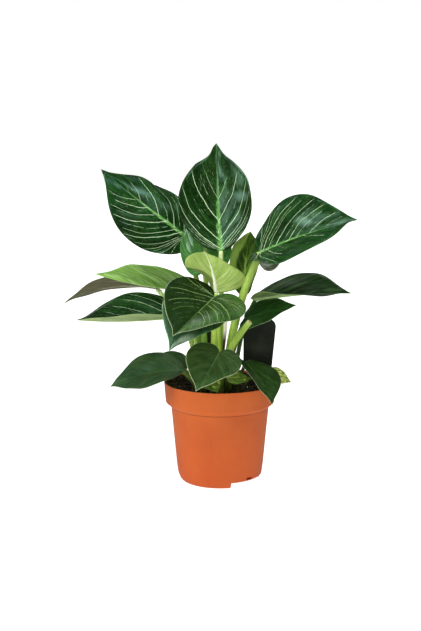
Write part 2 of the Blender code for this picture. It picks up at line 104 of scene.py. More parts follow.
def addPiece(name, points, faces, finishes, slot=None, node=None, uvs=None, faceFinish=None, lines=None,
             merge=True):
    # points in mm and faces as rows of indices; uvs holds one (u, v) per corner for each map name, lines one
    # vector per corner; merge joins points that share a place
    mesh = bpy.data.meshes.new(name)
    faces = faces if isinstance(faces, list) else faces.tolist()
    mesh.from_pydata((np.asarray(points) * mm).tolist(), [], faces)
    for mapName, corners in (uvs or {}).items():
        mesh.uv_layers.new(name=mapName).data.foreach_set("uv", np.asarray(corners, np.float32).ravel())
    if lines is not None:
        corners = mesh.attributes.new("line", "FLOAT_VECTOR", "CORNER")
        corners.data.foreach_set("vector", lines.astype(np.float32).ravel())
    if faceFinish is not None:
        mesh.polygons.foreach_set("material_index", np.asarray(faceFinish, np.int32))
    mesh.polygons.foreach_set("use_smooth", np.ones(len(faces), bool))
    if merge:
        reshape(mesh, lambda shape: bmesh.ops.remove_doubles(shape, verts=shape.verts, dist=1e-7))
    for finish in finishes:
        mesh.materials.append(finish)
    piece = bpy.data.objects.new(name, mesh)
    bpy.context.scene.collection.objects.link(piece)
    return hold(piece, node) if slot else piece


def gridFaces(rows, columns, first=0, flip=False, wrap=False):
    # quads of a rows x columns grid of points, numbered row by row; wrap joins the last column to the first
    i, j = np.meshgrid(np.arange(rows - 1), np.arange(columns if wrap else columns - 1), indexing="ij")
    k = (j + 1) % columns
    quads = np.stack([i * columns + j, i * columns + k, (i + 1) * columns + k, (i + 1) * columns + j], -1)
    quads = quads.reshape(-1, 4) + first
    return quads[:, ::-1] if flip else quads


def tubeFaces(rings, sides):
    # the faces of a tube of rings of points, closed at both ends
    end = np.arange(sides)
    ends = [end[::-1].tolist(), (end + (rings - 1) * sides).tolist()]
    return gridFaces(rings, sides, wrap=True).tolist() + ends


def fullTurn(count):
    # so many directions evenly round a circle
    return np.linspace(0.0, 2 * math.pi, count, endpoint=False)


def polar(radius, angle, height):
    # (radius*cos(angle), radius*sin(angle), height)
    return np.stack(np.broadcast_arrays(radius * np.cos(angle), radius * np.sin(angle), height), -1)


def cubic(ends, t):
    # (1-t)^3 a + 3(1-t)^2 t b + 3(1-t) t^2 c + t^3 d
    a, b, c, d = (np.asarray(end, float) for end in ends)
    t = np.asarray(t, float)[..., None]
    return (1 - t) ** 3 * a + 3 * (1 - t) ** 2 * t * b + 3 * (1 - t) * t ** 2 * c + t ** 3 * d


def smoothStep(low, high, value):
    # 0 below low, 1 above high, 3s^2 - 2s^3 between
    s = np.clip((value - low) / (high - low), 0.0, 1.0)
    return s * s * (3.0 - 2.0 * s)


view = dict(place=(-10.2, -1200.0, 382.0), down=9.65, lens=65.3, sensor=36.0, nearest=0.05, farthest=20.0)


def addCamera():
    camera = bpy.data.cameras.new("camera")
    camera.sensor_fit = "VERTICAL"
    camera.sensor_height = view["sensor"]
    camera.lens = view["lens"]
    camera.clip_start, camera.clip_end = view["nearest"], view["farthest"]
    holder = bpy.data.objects.new("camera", camera)
    holder.location = [value * mm for value in view["place"]]
    holder.rotation_euler = (math.radians(90.0 - view["down"]), 0.0, 0.0)
    bpy.context.scene.collection.objects.link(holder)
    bpy.context.scene.camera = holder


# soft lights: the direction they come from (heading, height), strength, how wide the source looks, colour,
# and whether they show in glossy surfaces
lights = dict(
    key=dict(heading=200, height=26, strength=1.2, width=24, colour="#FFFDF8"),
    front=dict(heading=252, height=73, strength=2.4, width=28, colour="#FFFFFF"),
    top=dict(heading=335, height=58, strength=0.7, width=22, colour="#E8F2FF"),
    back=dict(heading=97, height=50, strength=0.32, width=16, colour="#FFFFFF"),
    fill=dict(heading=264, height=9, strength=1.2, width=50, colour="#FFFFFF", glare=False),
)
skyLight = 0.13  # strength of the white surroundings, which look fully white themselves


def addLights():
    for name, light in lights.items():
        lamp = bpy.data.lights.new(name, "SUN")
        lamp.energy = light["strength"]
        lamp.color = linear(light["colour"])[:3]
        lamp.angle = math.radians(light["width"])
        holder = bpy.data.objects.new(name, lamp)
        holder.rotation_euler = (math.radians(90.0 - light["height"]), 0.0,
                                 math.radians(light["heading"] + 90.0))
        holder.visible_glossy = light.get("glare", True)
        bpy.context.scene.collection.objects.link(holder)
    world = bpy.data.worlds.new("studio")
    bpy.context.scene.world = world
    world.use_nodes = True
    world.node_tree.nodes.clear()
    add = functools.partial(addNode, world.node_tree)
    dim, white = (add("Background", "#FFFFFF", strength) for strength in (skyLight, 1.0))
    add("OutputWorld", add("MixShader", add("LightPath").outputs["Is Camera Ray"], dim, white))
    bpy.context.scene.view_settings.view_transform = "Standard"


floor = dict(reach=6000.0, height=-0.2, colour="#9E9E9C", glow=1.02)


def addFloor():
    # white sweep that glows a little, which keeps the shadow on it faint
    finish, add = newFinish("pale glowing floor")
    add("OutputMaterial", add("BsdfPrincipled", floor["colour"], sockets={
        "Roughness": 0.9, "Emission Color": "#FFFFFF", "Emission Strength": floor["glow"]}))
    reach = floor["reach"]
    corners = ((-reach, -reach), (reach, -reach), (reach, reach), (-reach, reach))
    points = [(x, y, floor["height"]) for x, y in corners]
    piece = addPiece("floor", points, [(0, 1, 2, 3)], [finish], merge=False)
    piece.visible_glossy = False  # its glare would grey the plastic and the leaves


addCamera()
addLights()
addFloor()
print("camera, lights and floor are in place")


# Leaves, as the solids have them. at: where the stalk meets the blade. aim: heading of the midrib (0 along
# +X, 90 along +Y), how far it points up, and how far the right edge is up. size: length, half the width,
# depth of the basal lobes, and where it is widest. bend: arch, sweep and twist of the midrib by the tip.
# fold, curl, cup: rise of the left and right halves, their bend towards the margin, and the same near the
# base. tip: fullness near the tip. drip: how far the last fifth is drawn in. nicks: side, place and depth of
# tears. foot: direction and distance of the stalk's foot. lean: how much more than its chord the stalk
# leans at the top. stalk: radius at its foot and top. wave: height of the blade's waves.
plainLeaf = dict(fold=(12, 12), curl=(0, 0), cup=(0, 0), tip=0.20, drip=(0.0, 0.0), nicks=(), lean=1.5,
                 stalk=(3.2, 2.5), wave=1.0, seed=1, look="striped")
leaves = {
    "top": dict(at=(1, 28, 244), aim=(101, 70, 15), size=(121, 44, 2, 0.44), bend=(0, 3, 0), fold=(12, 24),
        curl=(2, 13), tip=(0.45, 0.29), drip=(0.4, 0.12), foot=(84, 17), seed=3),
    "upper_left": dict(at=(-39, 56, 258), aim=(177, 36, 65), size=(117, 43, 14, 0.4), bend=(4, 6, -8),
        fold=(0, -7), curl=(-4, -36), tip=0.26, nicks=((1, 0.6, 3.0),), foot=(118, 17), seed=5, look="sea"),
    "upper_right": dict(at=(42, 8, 244), aim=(-40, 24, -45), size=(125, 48, 10, 0.38), bend=(11, 2, -14),
        fold=(21, 24), curl=(1, -3), cup=(0, 21), tip=0.24, foot=(308, 12.2), lean=1.9, stalk=(4.8, 4.0),
        seed=8, look="sea"),
    "young": dict(at=(-5, -8, 203.5), aim=(287, 110, -20), size=(54, 44, 0.2, 0.35), bend=(-39, -9, 7),
        fold=(-2, -20), curl=(6, 6), cup=(9, -140), foot=(267, 10.3), wave=0.3, look="young"),
    "inner": dict(at=(-17, 31, 223), aim=(79, 70, 6), size=(93, 29, 10, 0.29), bend=(9, 0, 0), fold=(6, -30),
        curl=(-4, 0), foot=(137, 9.5), look="fresh"),
    "unrolling": dict(at=(26, 28, 195), aim=(81, 86, 25), size=(70, 19, 1, 0.53), bend=(12, 5, 0),
        fold=(12, 16), tip=0.82, foot=(47, 9.5), look="olive"),
    "front_large": dict(at=(-6, -37.5, 204), aim=(246, -14, 15), size=(103, 43, 16, 0.28), bend=(-1, 0, -8),
        fold=(9, 15), curl=(-7, 17), foot=(230, 11.5), wave=0.4, look="veined"),
    "front_glossy": dict(at=(-17, -34, 184.4), aim=(249, 9, 7), size=(101, 34, 8, 0.33), bend=(41, -8, 14),
        fold=(9, 23), curl=(-1, 2), foot=(216, 21.5), wave=0.4, look="glossy"),
    "left_bright": dict(at=(-36, 10, 204), aim=(177, 3, -18), size=(102, 37, 10, 0.31), bend=(-14, 5, -14),
        fold=(32, 22), curl=(-19, -10), foot=(170, 17), wave=0.6, look="bright"),
    "left_far": dict(at=(-69, 60, 198), aim=(167, 11, -25), size=(112, 32, 6, 0.31), bend=(45, 3, 3),
        fold=(11, 8), curl=(-9, 8), foot=(144, 17), wave=0.4, look="greyed"),
    "left_striped": dict(at=(-39, -9, 179), aim=(202, -4, 13), size=(120, 42, 3, 0.34), bend=(-14, -5, -3),
        fold=(36, 25), curl=(-13, -3), foot=(193, 23), wave=0.3, seed=12, look="banded"),
    "low_left": dict(at=(-41, -11, 121), aim=(180, -1, 14), size=(80, 36, 4, 0.35), bend=(27, 0, 26),
        fold=(12, 7), curl=(5, -8), foot=(200, 28), stalk=(2.6, 2.0), wave=0.4, look="matte"),
    "low_back": dict(at=(-37, 28, 113), aim=(172, 24, 22), size=(43, 18, 2, 0.33), bend=(13, -7, 8),
        fold=(12, 18), foot=(156, 25), stalk=(2.2, 1.6), look="matte"),
    "low_front": dict(at=(-1, -44, 147), aim=(249, -25, 17), size=(68, 29, 9, 0.28), bend=(-1, 3, -10),
        curl=(-8, 1), foot=(252, 25), stalk=(2.8, 2.2), wave=0.5, look="bronze"),
    "low_right": dict(at=(27, -15, 130), aim=(301, -23, 17), size=(71, 27, 5, 0.31), bend=(11, 10, 0),
        fold=(17, 14), curl=(3, 14), foot=(322, 24), stalk=(2.6, 2.0), wave=0.5, look="deep"),
    "right_high": dict(at=(38, 34, 189), aim=(-18, 12, -2), size=(112, 39, 4, 0.34), bend=(8, 15, -24),
        fold=(22, 21), curl=(-6, 6), foot=(60, 17), wave=0.5, look="dark"),
    "right_low": dict(at=(27, 6, 174), aim=(-32, 18, -41), size=(65, 27, 5, 0.27), bend=(1, 0, 5),
        fold=(-1, 9), curl=(-14, 11), foot=(20, 17), stalk=(2.8, 2.2), wave=0.4, seed=4, look="leafy"),
    "small_right": dict(at=(51, -6, 117.2), aim=(1, -19, -57), size=(30, 9, 2, 0.31), bend=(29, -3, 0),
        fold=(11, 11), foot=(348, 26), stalk=(1.5, 1.1), wave=0.5, look="yellowed"),
    "small_front": dict(at=(-16, -34.5, 115.5), aim=(303, -13, -7), size=(27, 13, 2, 0.31), bend=(9, 6, 0),
        fold=(8, 6), foot=(225, 28), stalk=(1.5, 1.1), wave=0.5, seed=6, look="patched"),
    "small_inner": dict(at=(7, -38, 119), aim=(2, -1, -42), size=(26, 9, 1, 0.31), bend=(15, -8, 0),
        fold=(5, 6), foot=(286, 28), stalk=(1.5, 1.1), wave=0.5, seed=9, look="patched"),
}
# Cream lines of the leaves that show them best, left half and then right half, in hundredths. Each line is
# where its side vein meets the margin (0 at the stalk, 100 at the tip), where it begins and ends between
# midrib and margin, and its strength.
creamLines = {
    "top": (
        [(24, 25, 90, 45), (30, 10, 100, 60), (40, 5, 80, 60), (46, 10, 60, 55), (50, 0, 100, 100),
         (54.5, 35, 75, 30), (61, 0, 100, 95), (67.5, 40, 75, 30), (74.5, 0, 100, 100), (80, 35, 85, 40),
         (84, 0, 75, 65), (89, 30, 70, 20)],
        [(22, 20, 100, 55), (33, 5, 85, 65), (42, 0, 75, 65), (48, 0, 90, 70), (54, 5, 100, 75),
         (58, 30, 70, 30), (62.5, 0, 100, 95), (68, 20, 60, 35), (74.5, 0, 95, 90), (79, 0, 50, 40),
         (83.5, 0, 60, 65), (88, 40, 80, 20)]),
    "upper_left": (
        [(21, 10, 90, 65), (28, 0, 100, 85), (35, 10, 95, 60), (41, 0, 100, 90), (48, 10, 95, 60),
         (56, 0, 100, 100), (61.5, 0, 95, 65), (66, 10, 90, 50), (70.5, 0, 100, 100), (76.5, 10, 100, 75),
         (81.5, 0, 90, 90), (86, 10, 100, 75)],
        [(30, 0, 80, 50), (40, 0, 90, 60), (48, 0, 90, 70), (56, 10, 80, 50), (63, 0, 100, 85),
         (69, 0, 45, 60), (72, 40, 80, 30), (75.5, 0, 100, 95), (80, 10, 50, 35), (85, 5, 75, 70),
         (90, 0, 40, 30)]),
    "upper_right": (
        [(22, 10, 90, 70), (30, 20, 80, 40), (37, 5, 95, 75), (45, 0, 90, 60), (53.5, 0, 100, 100),
         (58, 10, 80, 45), (61.5, 0, 90, 60), (68.5, 0, 100, 95), (73, 10, 90, 50), (76.5, 0, 100, 85),
         (80, 0, 85, 60), (86, 0, 95, 80), (91, 10, 90, 50)],
        [(16, 10, 90, 70), (24, 0, 100, 85), (31, 0, 90, 70), (38, 0, 100, 80), (49, 0, 95, 90),
         (56, 20, 60, 35), (61, 0, 75, 75), (70, 5, 55, 40), (77, 10, 50, 30), (83, 0, 85, 80)]),
    "left_striped": (
        [(20, 0, 90, 60), (30, 0, 90, 50), (42, 0, 100, 70), (48, 20, 60, 30), (53, 0, 100, 80),
         (60, 30, 70, 30), (67, 0, 90, 80), (75, 30, 80, 30), (83, 10, 60, 40)],
        [(25, 0, 90, 60), (38, 0, 90, 60), (50, 0, 100, 80), (60, 0, 90, 80), (72, 0, 90, 70),
         (82, 0, 80, 50)]),
    "front_large": (
        [(10, 10, 80, 30), (20, 10, 90, 35), (29, 10, 90, 50), (34, 20, 100, 70), (39, 10, 90, 70),
         (45, 10, 100, 85), (52, 30, 90, 40), (60, 0, 100, 90), (65.5, 10, 90, 55), (70, 0, 95, 80),
         (75.5, 20, 100, 60), (80, 0, 100, 80), (87, 20, 80, 35)],
        [(12, 20, 90, 30), (24, 0, 100, 90), (31, 0, 100, 85), (40, 10, 80, 40), (47, 20, 90, 40),
         (55, 0, 95, 85), (61, 10, 90, 45), (66.5, 0, 95, 75), (71.5, 10, 90, 40), (76, 10, 90, 50),
         (81, 20, 90, 40), (86, 20, 80, 30)]),
    "right_high": (
        [(25, 10, 90, 40), (33, 0, 80, 60), (43, 20, 80, 40), (52, 0, 100, 65), (57, 20, 70, 30),
         (62, 10, 90, 60), (69, 20, 80, 35), (78, 10, 80, 45)],
        [(30, 0, 90, 50), (45, 0, 90, 50), (60, 0, 90, 50), (75, 0, 80, 40)]),
}


def someLines(leaf, side):
    # lines for the other leaves: evenly spaced and jittered by a third of their spacing
    random = np.random.default_rng(leaf["seed"] * 10 + (side > 0))
    count = blade["lines"]
    place = 0.14 + 0.74 * (np.arange(count) + 0.5 + random.uniform(-0.33, 0.33, count)) / count
    begin = random.uniform(-0.1, 0.3, count) ** 2
    end = random.uniform(0.6, 1.05, count)
    return np.stack([place, begin, end, random.uniform(0.3, 0.9, count)], -1)


blade = dict(rows=96, columns=20, thickness=0.5, edgeThickness=0.16, ribHeight=1.5, ribWidth=1.3,
             channel=0.35, veins=11, veinDepth=0.14, pillow=0.30, baseVeins=0.38, veinRise=2.4, lines=11,
             lineWidth=0.64, lineBow=0.8, nickLength=0.028, usualHalf=40.0, outline=240)
reachScale = 50.0  # mm from the midrib or the margin to one unit of the map that holds them


def halfOutline(leaf, side):
    # one half of the outline: a cubic curve round the lobe to the widest point, then one from there to the
    # tip, drawn in near the tip by drip*sin(pi*u)^1.5 over its last fifth
    length, half, lobe, wide = leaf["size"]
    widest = wide * length
    tip = leaf["tip"] if isinstance(leaf["tip"], float) else leaf["tip"][side > 0]
    lobeCurve = ((0, 0), (0.30 * half, -2.0 * lobe), (half, widest - 0.62 * (widest + lobe)), (half, widest))
    tipCurve = ((half, widest), (half, widest + 0.42 * (length - widest)),
                (tip * half, length - 0.30 * (length - widest)), (0, length))
    t = np.linspace(0.0, 1.0, blade["outline"])
    outline = np.vstack([cubic(lobeCurve, t), cubic(tipCurve, t)[1:]])
    last = np.clip((outline[:, 1] / length - 0.80) / 0.20, 0.0, 1.0)
    outline[:, 0] *= 1.0 - leaf["drip"][side > 0] * np.sin(math.pi * last) ** 1.5
    return outline


def flatHalf(leaf, side):
    # rows follow the side veins: each leaves the midrib at start(row) and curves up to the margin as
    # (1-s)^2 start + 2(1-s)s bend + s^2 margin; the lowest rows all leave from the stalk
    outline = halfOutline(leaf, side)
    run = np.concatenate([[0.0], np.cumsum(np.linalg.norm(np.diff(outline, axis=0), axis=1))])
    row = np.linspace(0.0, 1.0, blade["rows"] + 1)
    margin = np.stack([np.interp(row * run[-1], run, outline[:, k]) for k in (0, 1)], axis=-1)
    for nickSide, place, depth in leaf["nicks"]:
        if nickSide == side:
            beyond = (row - place) / blade["nickLength"]
            margin[:, 0] -= depth * np.exp(-beyond * 2.2) * (beyond > 0) * (beyond < 4)
    rise = np.clip((row - blade["baseVeins"]) / (1.0 - blade["baseVeins"]), 0.0, 1.0)
    start = rise ** blade["veinRise"] * leaf["size"][0]
    midrib = np.stack([np.zeros_like(start), start], axis=-1)
    bend = np.stack([0.80 * margin[:, 0], start + 0.40 * (margin[:, 1] - start)], axis=-1)
    s = (np.linspace(0.0, 1.0, blade["columns"] + 1) ** 1.35)[None, :, None]
    flat = (1 - s) ** 2 * midrib[:, None] + 2 * (1 - s) * s * bend[:, None] + s ** 2 * margin[:, None]
    return flat, s[0, :, 0], row


def lineCorners(half, s, row, lines, girth):
    # for the four corners of each face of one half: signed distance in mm to the nearest cream line, the
    # line's half width there, and its strength; distance = (row - line) * mm per unit of row, less a bow of
    # lineBow*sin(5.2s + 2.4n) that differs from line to line
    lines = lines[lines[:, 0].argsort()]
    middle = (row[1:] + row[:-1]) / 2
    nearest = np.abs(middle[:, None] - lines[None, :, 0]).argmin(axis=1)
    place, begin, end, strength = (lines[nearest, k][:, None, None] for k in range(4))
    gap = np.full(len(lines), 0.1)
    gap[1:] = np.minimum(gap[1:], np.diff(lines[:, 0]))
    gap[:-1] = np.minimum(gap[:-1], np.diff(lines[:, 0]))
    gap = gap[nearest][:, None, None]
    perRow = np.linalg.norm(np.gradient(half, row, axis=0), axis=2)
    i, j = np.meshgrid(np.arange(len(row) - 1), np.arange(len(s) - 1), indexing="ij")
    rows, columns = np.stack([i, i, i + 1, i + 1], -1), np.stack([j, j + 1, j + 1, j], -1)
    across, scale = s[columns], perRow[rows, columns]
    number = nearest[:, None, None]
    bow = np.sin(5.2 * across + 2.4 * number) * smoothStep(0.0, 0.35, across) * blade["lineBow"]
    offset = (row[rows] - place) * scale - bow * np.minimum(scale / 90.0, 1.0)
    width = np.minimum(girth * (1.0 - 0.40 * across) * (0.42 + 0.58 * strength ** 1.5), 0.26 * gap * scale)
    fade = smoothStep(begin - 0.08, begin + 0.02, across) * (1 - smoothStep(end - 0.16, end + 0.04, across))
    return np.stack([offset, width + 1e-4, strength * fade], -1)


def bladeAxes(leaf, run):
    # directions along, across and out of the blade after bending linearly by arch, sweep and twist
    share = run / leaf["size"][0]
    arch, side, twist = (math.radians(angle) * share for angle in leaf["bend"])
    down = -arch
    along = np.stack([np.sin(side) * np.cos(down), np.cos(side) * np.cos(down), np.sin(down)], -1)
    out = np.stack([-np.sin(side) * np.sin(down), -np.cos(side) * np.sin(down), np.cos(down)], -1)
    across = np.stack([np.cos(side), -np.sin(side), np.zeros_like(side)], -1)
    cos, sin = np.cos(twist)[..., None], np.sin(twist)[..., None]
    return along, across * cos + out * sin, out * cos - across * sin


def leafFrame(leaf):
    # rows across, along and out in the world where the blade meets its stalk
    turn, pitch, roll = (math.radians(angle) for angle in leaf["aim"])
    along = np.array([math.cos(turn) * math.cos(pitch), math.sin(turn) * math.cos(pitch), math.sin(pitch)])
    out = np.array([-math.cos(turn) * math.sin(pitch), -math.sin(turn) * math.sin(pitch), math.cos(pitch)])
    across = np.cross(along, out)
    return np.array([across * math.cos(roll) + out * math.sin(roll), along,
                     out * math.cos(roll) - across * math.sin(roll)])


def bendBlade(leaf, flat, side):
    # spine(y) + across*|x|*cos(rise) + out*|x|*sin(rise), rise = fold + (curl + cup*near)*|x|/half/2;
    # returns the points and the direction out of the surface
    length, half = leaf["size"][:2]
    x, y = np.abs(flat[..., 0]), flat[..., 1]
    run = np.linspace(0.0, length, 101)
    along = bladeAxes(leaf, run)[0]
    steps = (along[1:] + along[:-1]) / 2 * (length / 100)
    spine = np.vstack([np.zeros((1, 3)), np.cumsum(steps, axis=0)])
    held = np.clip(y, 0.0, length)
    point = np.stack([np.interp(held, run, spine[:, k]) for k in range(3)], axis=-1)
    along, across, out = bladeAxes(leaf, held)
    fold, curl, cup = (np.where(side > 0, leaf[key][1], leaf[key][0]) for key in ("fold", "curl", "cup"))
    near = np.clip(1.0 - y / (0.35 * length), 0.0, 1.0)
    bend = (curl + cup * near) * x / half
    rise, slope = np.radians(fold + bend / 2), np.radians(fold + bend)
    point = point + along * (y - held)[..., None]
    point = point + across * (side * x * np.cos(rise))[..., None] + out * (x * np.sin(rise))[..., None]
    lean = slope * smoothStep(0.0, 2.5, x)
    normal = out * np.cos(lean)[..., None] - across * (side * np.sin(lean))[..., None]
    turned = leafFrame(leaf)
    return np.array(leaf["at"], float) + point @ turned, normal @ turned


def bladeRelief(leaf, flat, s, row, side):
    # broad waves, pillows between sunken side veins, and a ruffle that grows with s^3 at the margin
    length, half = leaf["size"][:2]
    x, y = flat[..., 0] / half, flat[..., 1] / length
    phase = leaf["seed"] * 1.7 + side * 0.6
    wave = np.sin(5.2 * x + 7.5 * y + phase) + 0.6 * np.sin(11.0 * y - 6.5 * x + 2.0 * phase)
    ruffle = np.sin(2 * math.pi * (3.2 * row + 0.13 * leaf["seed"]) + side) * s ** 3
    place = np.abs((row * blade["veins"] + 0.31 * leaf["seed"]) % 1.0 - 0.5) * 2.0
    veins = blade["pillow"] * (1.0 - place ** 2) - blade["veinDepth"] * np.exp(-((1 - place) / 0.12) ** 2)
    veins = np.sin(math.pi * np.clip(s, 0.0, 1.0)) ** 0.7 * veins
    waves = leaf["wave"] * (wave * smoothStep(0.0, 0.5, s) * 0.9 + ruffle * 1.4)
    return half / blade["usualHalf"] * (waves + veins)


def addBlade(node, leaf, lines, finishes, slot):
    # one grid over both halves, columns from the left margin over the midrib to the right margin, offset
    # to a top and an underside that meet in a thin rim
    leftHalf, s, row = flatHalf(leaf, -1)
    rightHalf = flatHalf(leaf, 1)[0]
    columns = blade["columns"]
    flat = np.concatenate([leftHalf[:, ::-1] * [-1.0, 1.0], rightHalf[:, 1:]], axis=1)
    share = np.concatenate([-s[::-1], s[1:]])[None, :] * np.ones((len(row), 1))
    side = np.where(share < 0, -1.0, 1.0)
    rows = row[:, None] * np.ones_like(share)
    reaches = [np.linalg.norm(np.diff(half, axis=1), axis=2).sum(axis=1)[:, None]
               for half in (leftHalf, rightHalf)]
    edge = (1.0 - np.abs(share)) * np.where(share < 0, *reaches)
    rib = np.abs(flat[..., 0])
    along = np.clip(flat[..., 1] / leaf["size"][0], 0.0, 1.0)
    middle, normal = bendBlade(leaf, flat, side)
    relief = bladeRelief(leaf, flat, np.abs(share), rows, side) * smoothStep(0.0, 6.0, rib + edge)
    rim = blade["edgeThickness"]
    thick = rim + (blade["thickness"] - rim) * smoothStep(0.0, 4.0, edge)
    scale = min(leaf["size"][1] / blade["usualHalf"], 1.0)
    fade = (1.0 - along) ** 0.8 * scale
    groove = blade["channel"] * np.exp(-(rib / (0.9 * blade["ribWidth"])) ** 2) * fade
    ridge = blade["ribHeight"] * np.exp(-(rib / (blade["ribWidth"] * (0.5 + scale / 2))) ** 2) * fade
    top = middle + normal * (thick / 2 + relief - groove)[..., None]
    under = middle + normal * (relief - thick / 2 - ridge)[..., None]
    # points that share a place on the flat blade share one in space too
    ids = np.arange(rows.size).reshape(rows.shape)
    ids[0] = ids[0, columns]
    ids[-1] = ids[-1, columns]
    ids[(flat[:, columns, 1] <= 0.0), columns] = ids[0, columns]
    points = np.concatenate([surface.reshape(-1, 3)[ids.ravel()] for surface in (top, under)])
    total, wide = rows.size, 2 * columns + 1
    upper = gridFaces(len(row), wide)
    lower = gridFaces(len(row), wide, first=total, flip=True)
    i = np.arange(len(row) - 1) * wide
    left = np.stack([i, i + wide, i + wide + total, i + total], -1)
    faces = np.concatenate([upper, lower, left, left[:, ::-1] + wide - 1])
    corner = faces.ravel() % total
    # maps: place across the blade and the row, across and along it, and how far the midrib and the margin are
    maps = dict(veins=((share + 1) / 2, rows), blade=(flat[..., 0] / 100 + 0.5, along),
                reach=(rib / reachScale, edge / reachScale))
    uvs = {key: np.stack([values.ravel()[corner] for values in pair], -1) for key, pair in maps.items()}
    # cream lines of each half, mirrored for the left one whose faces run the other way
    girth = blade["lineWidth"] * max(scale, 0.5)
    leftLines = lineCorners(leftHalf, s, row, lines[0], girth)[:, ::-1][:, :, [1, 0, 3, 2]]
    rightLines = lineCorners(rightHalf, s, row, lines[1], girth)
    topLines = np.concatenate([leftLines, rightLines], axis=1).reshape(-1, 4, 3)
    noLine = np.zeros((2 * len(left), 4, 3)) + [9.0, 0.1, 0.0]
    corners = np.concatenate([topLines, topLines[:, ::-1], noLine])
    underside = np.zeros(len(faces), int)
    underside[len(upper):len(upper) + len(lower)] = 1
    addPiece(node.replace("blade", "leaf"), points, faces, finishes, slot, node, uvs, underside, corners)


# Each look has the top face and, under "under", what differs on the underside. A blade is a waxy skin over
# green tissue: satin, IOR 1.42, with cream side veins where the tissue has no green. dark, light and bronze
# mottle it, and highlightTone is the pale tone of its painted highlights. lines, flecks: strength of the
# cream lines and of the short dashes between them. streaks, bands, grain: strength of the faint fibres along
# the veins, of the main veins and of the finest dashes. patches: share of the blade without green. sheen:
# tint of the gloss. dull: how far the waxy gloss is rubbed off between the glossy patches. sideToneAndShade:
# where across the blade (-1 left margin, 1 right margin) another tone sets in and is full, that tone and its
# strength; on the veined look it is painted shade.
plainLook = dict(dark="#061503", light="#15370E", bronze="#171706", stripe="#CDE8B8", rib="#5F9A48",
                 edge="#6C8450", vein="#27521C", patch="#B9C06A", highlightTone="#7FA392", sheen="#A9E6CB", lines=0.95,
                 flecks=0.30, grain=0.5, streaks=0.30, bands=0.35, patches=0.0, ribWidth=5.2, ribFade=0.75,
                 edgeWidth=0.35, rough=0.26, coat=0.0, dull=0.7, sideToneAndShade=None)
plainUnder = dict(plainLook, dark="#5C7F40", light="#86A85E", bronze="#5B7D3F", stripe="#BCD096",
                  rib="#BCD08B", edge="#97AB68", vein="#9DBA74", sheen="#FFFFFF", lines=0.5, flecks=0.0,
                  grain=0.0, streaks=0.5, bands=0.3, ribWidth=2.0, ribFade=0.3, edgeWidth=0.4, rough=0.5,
                  dull=0.4)
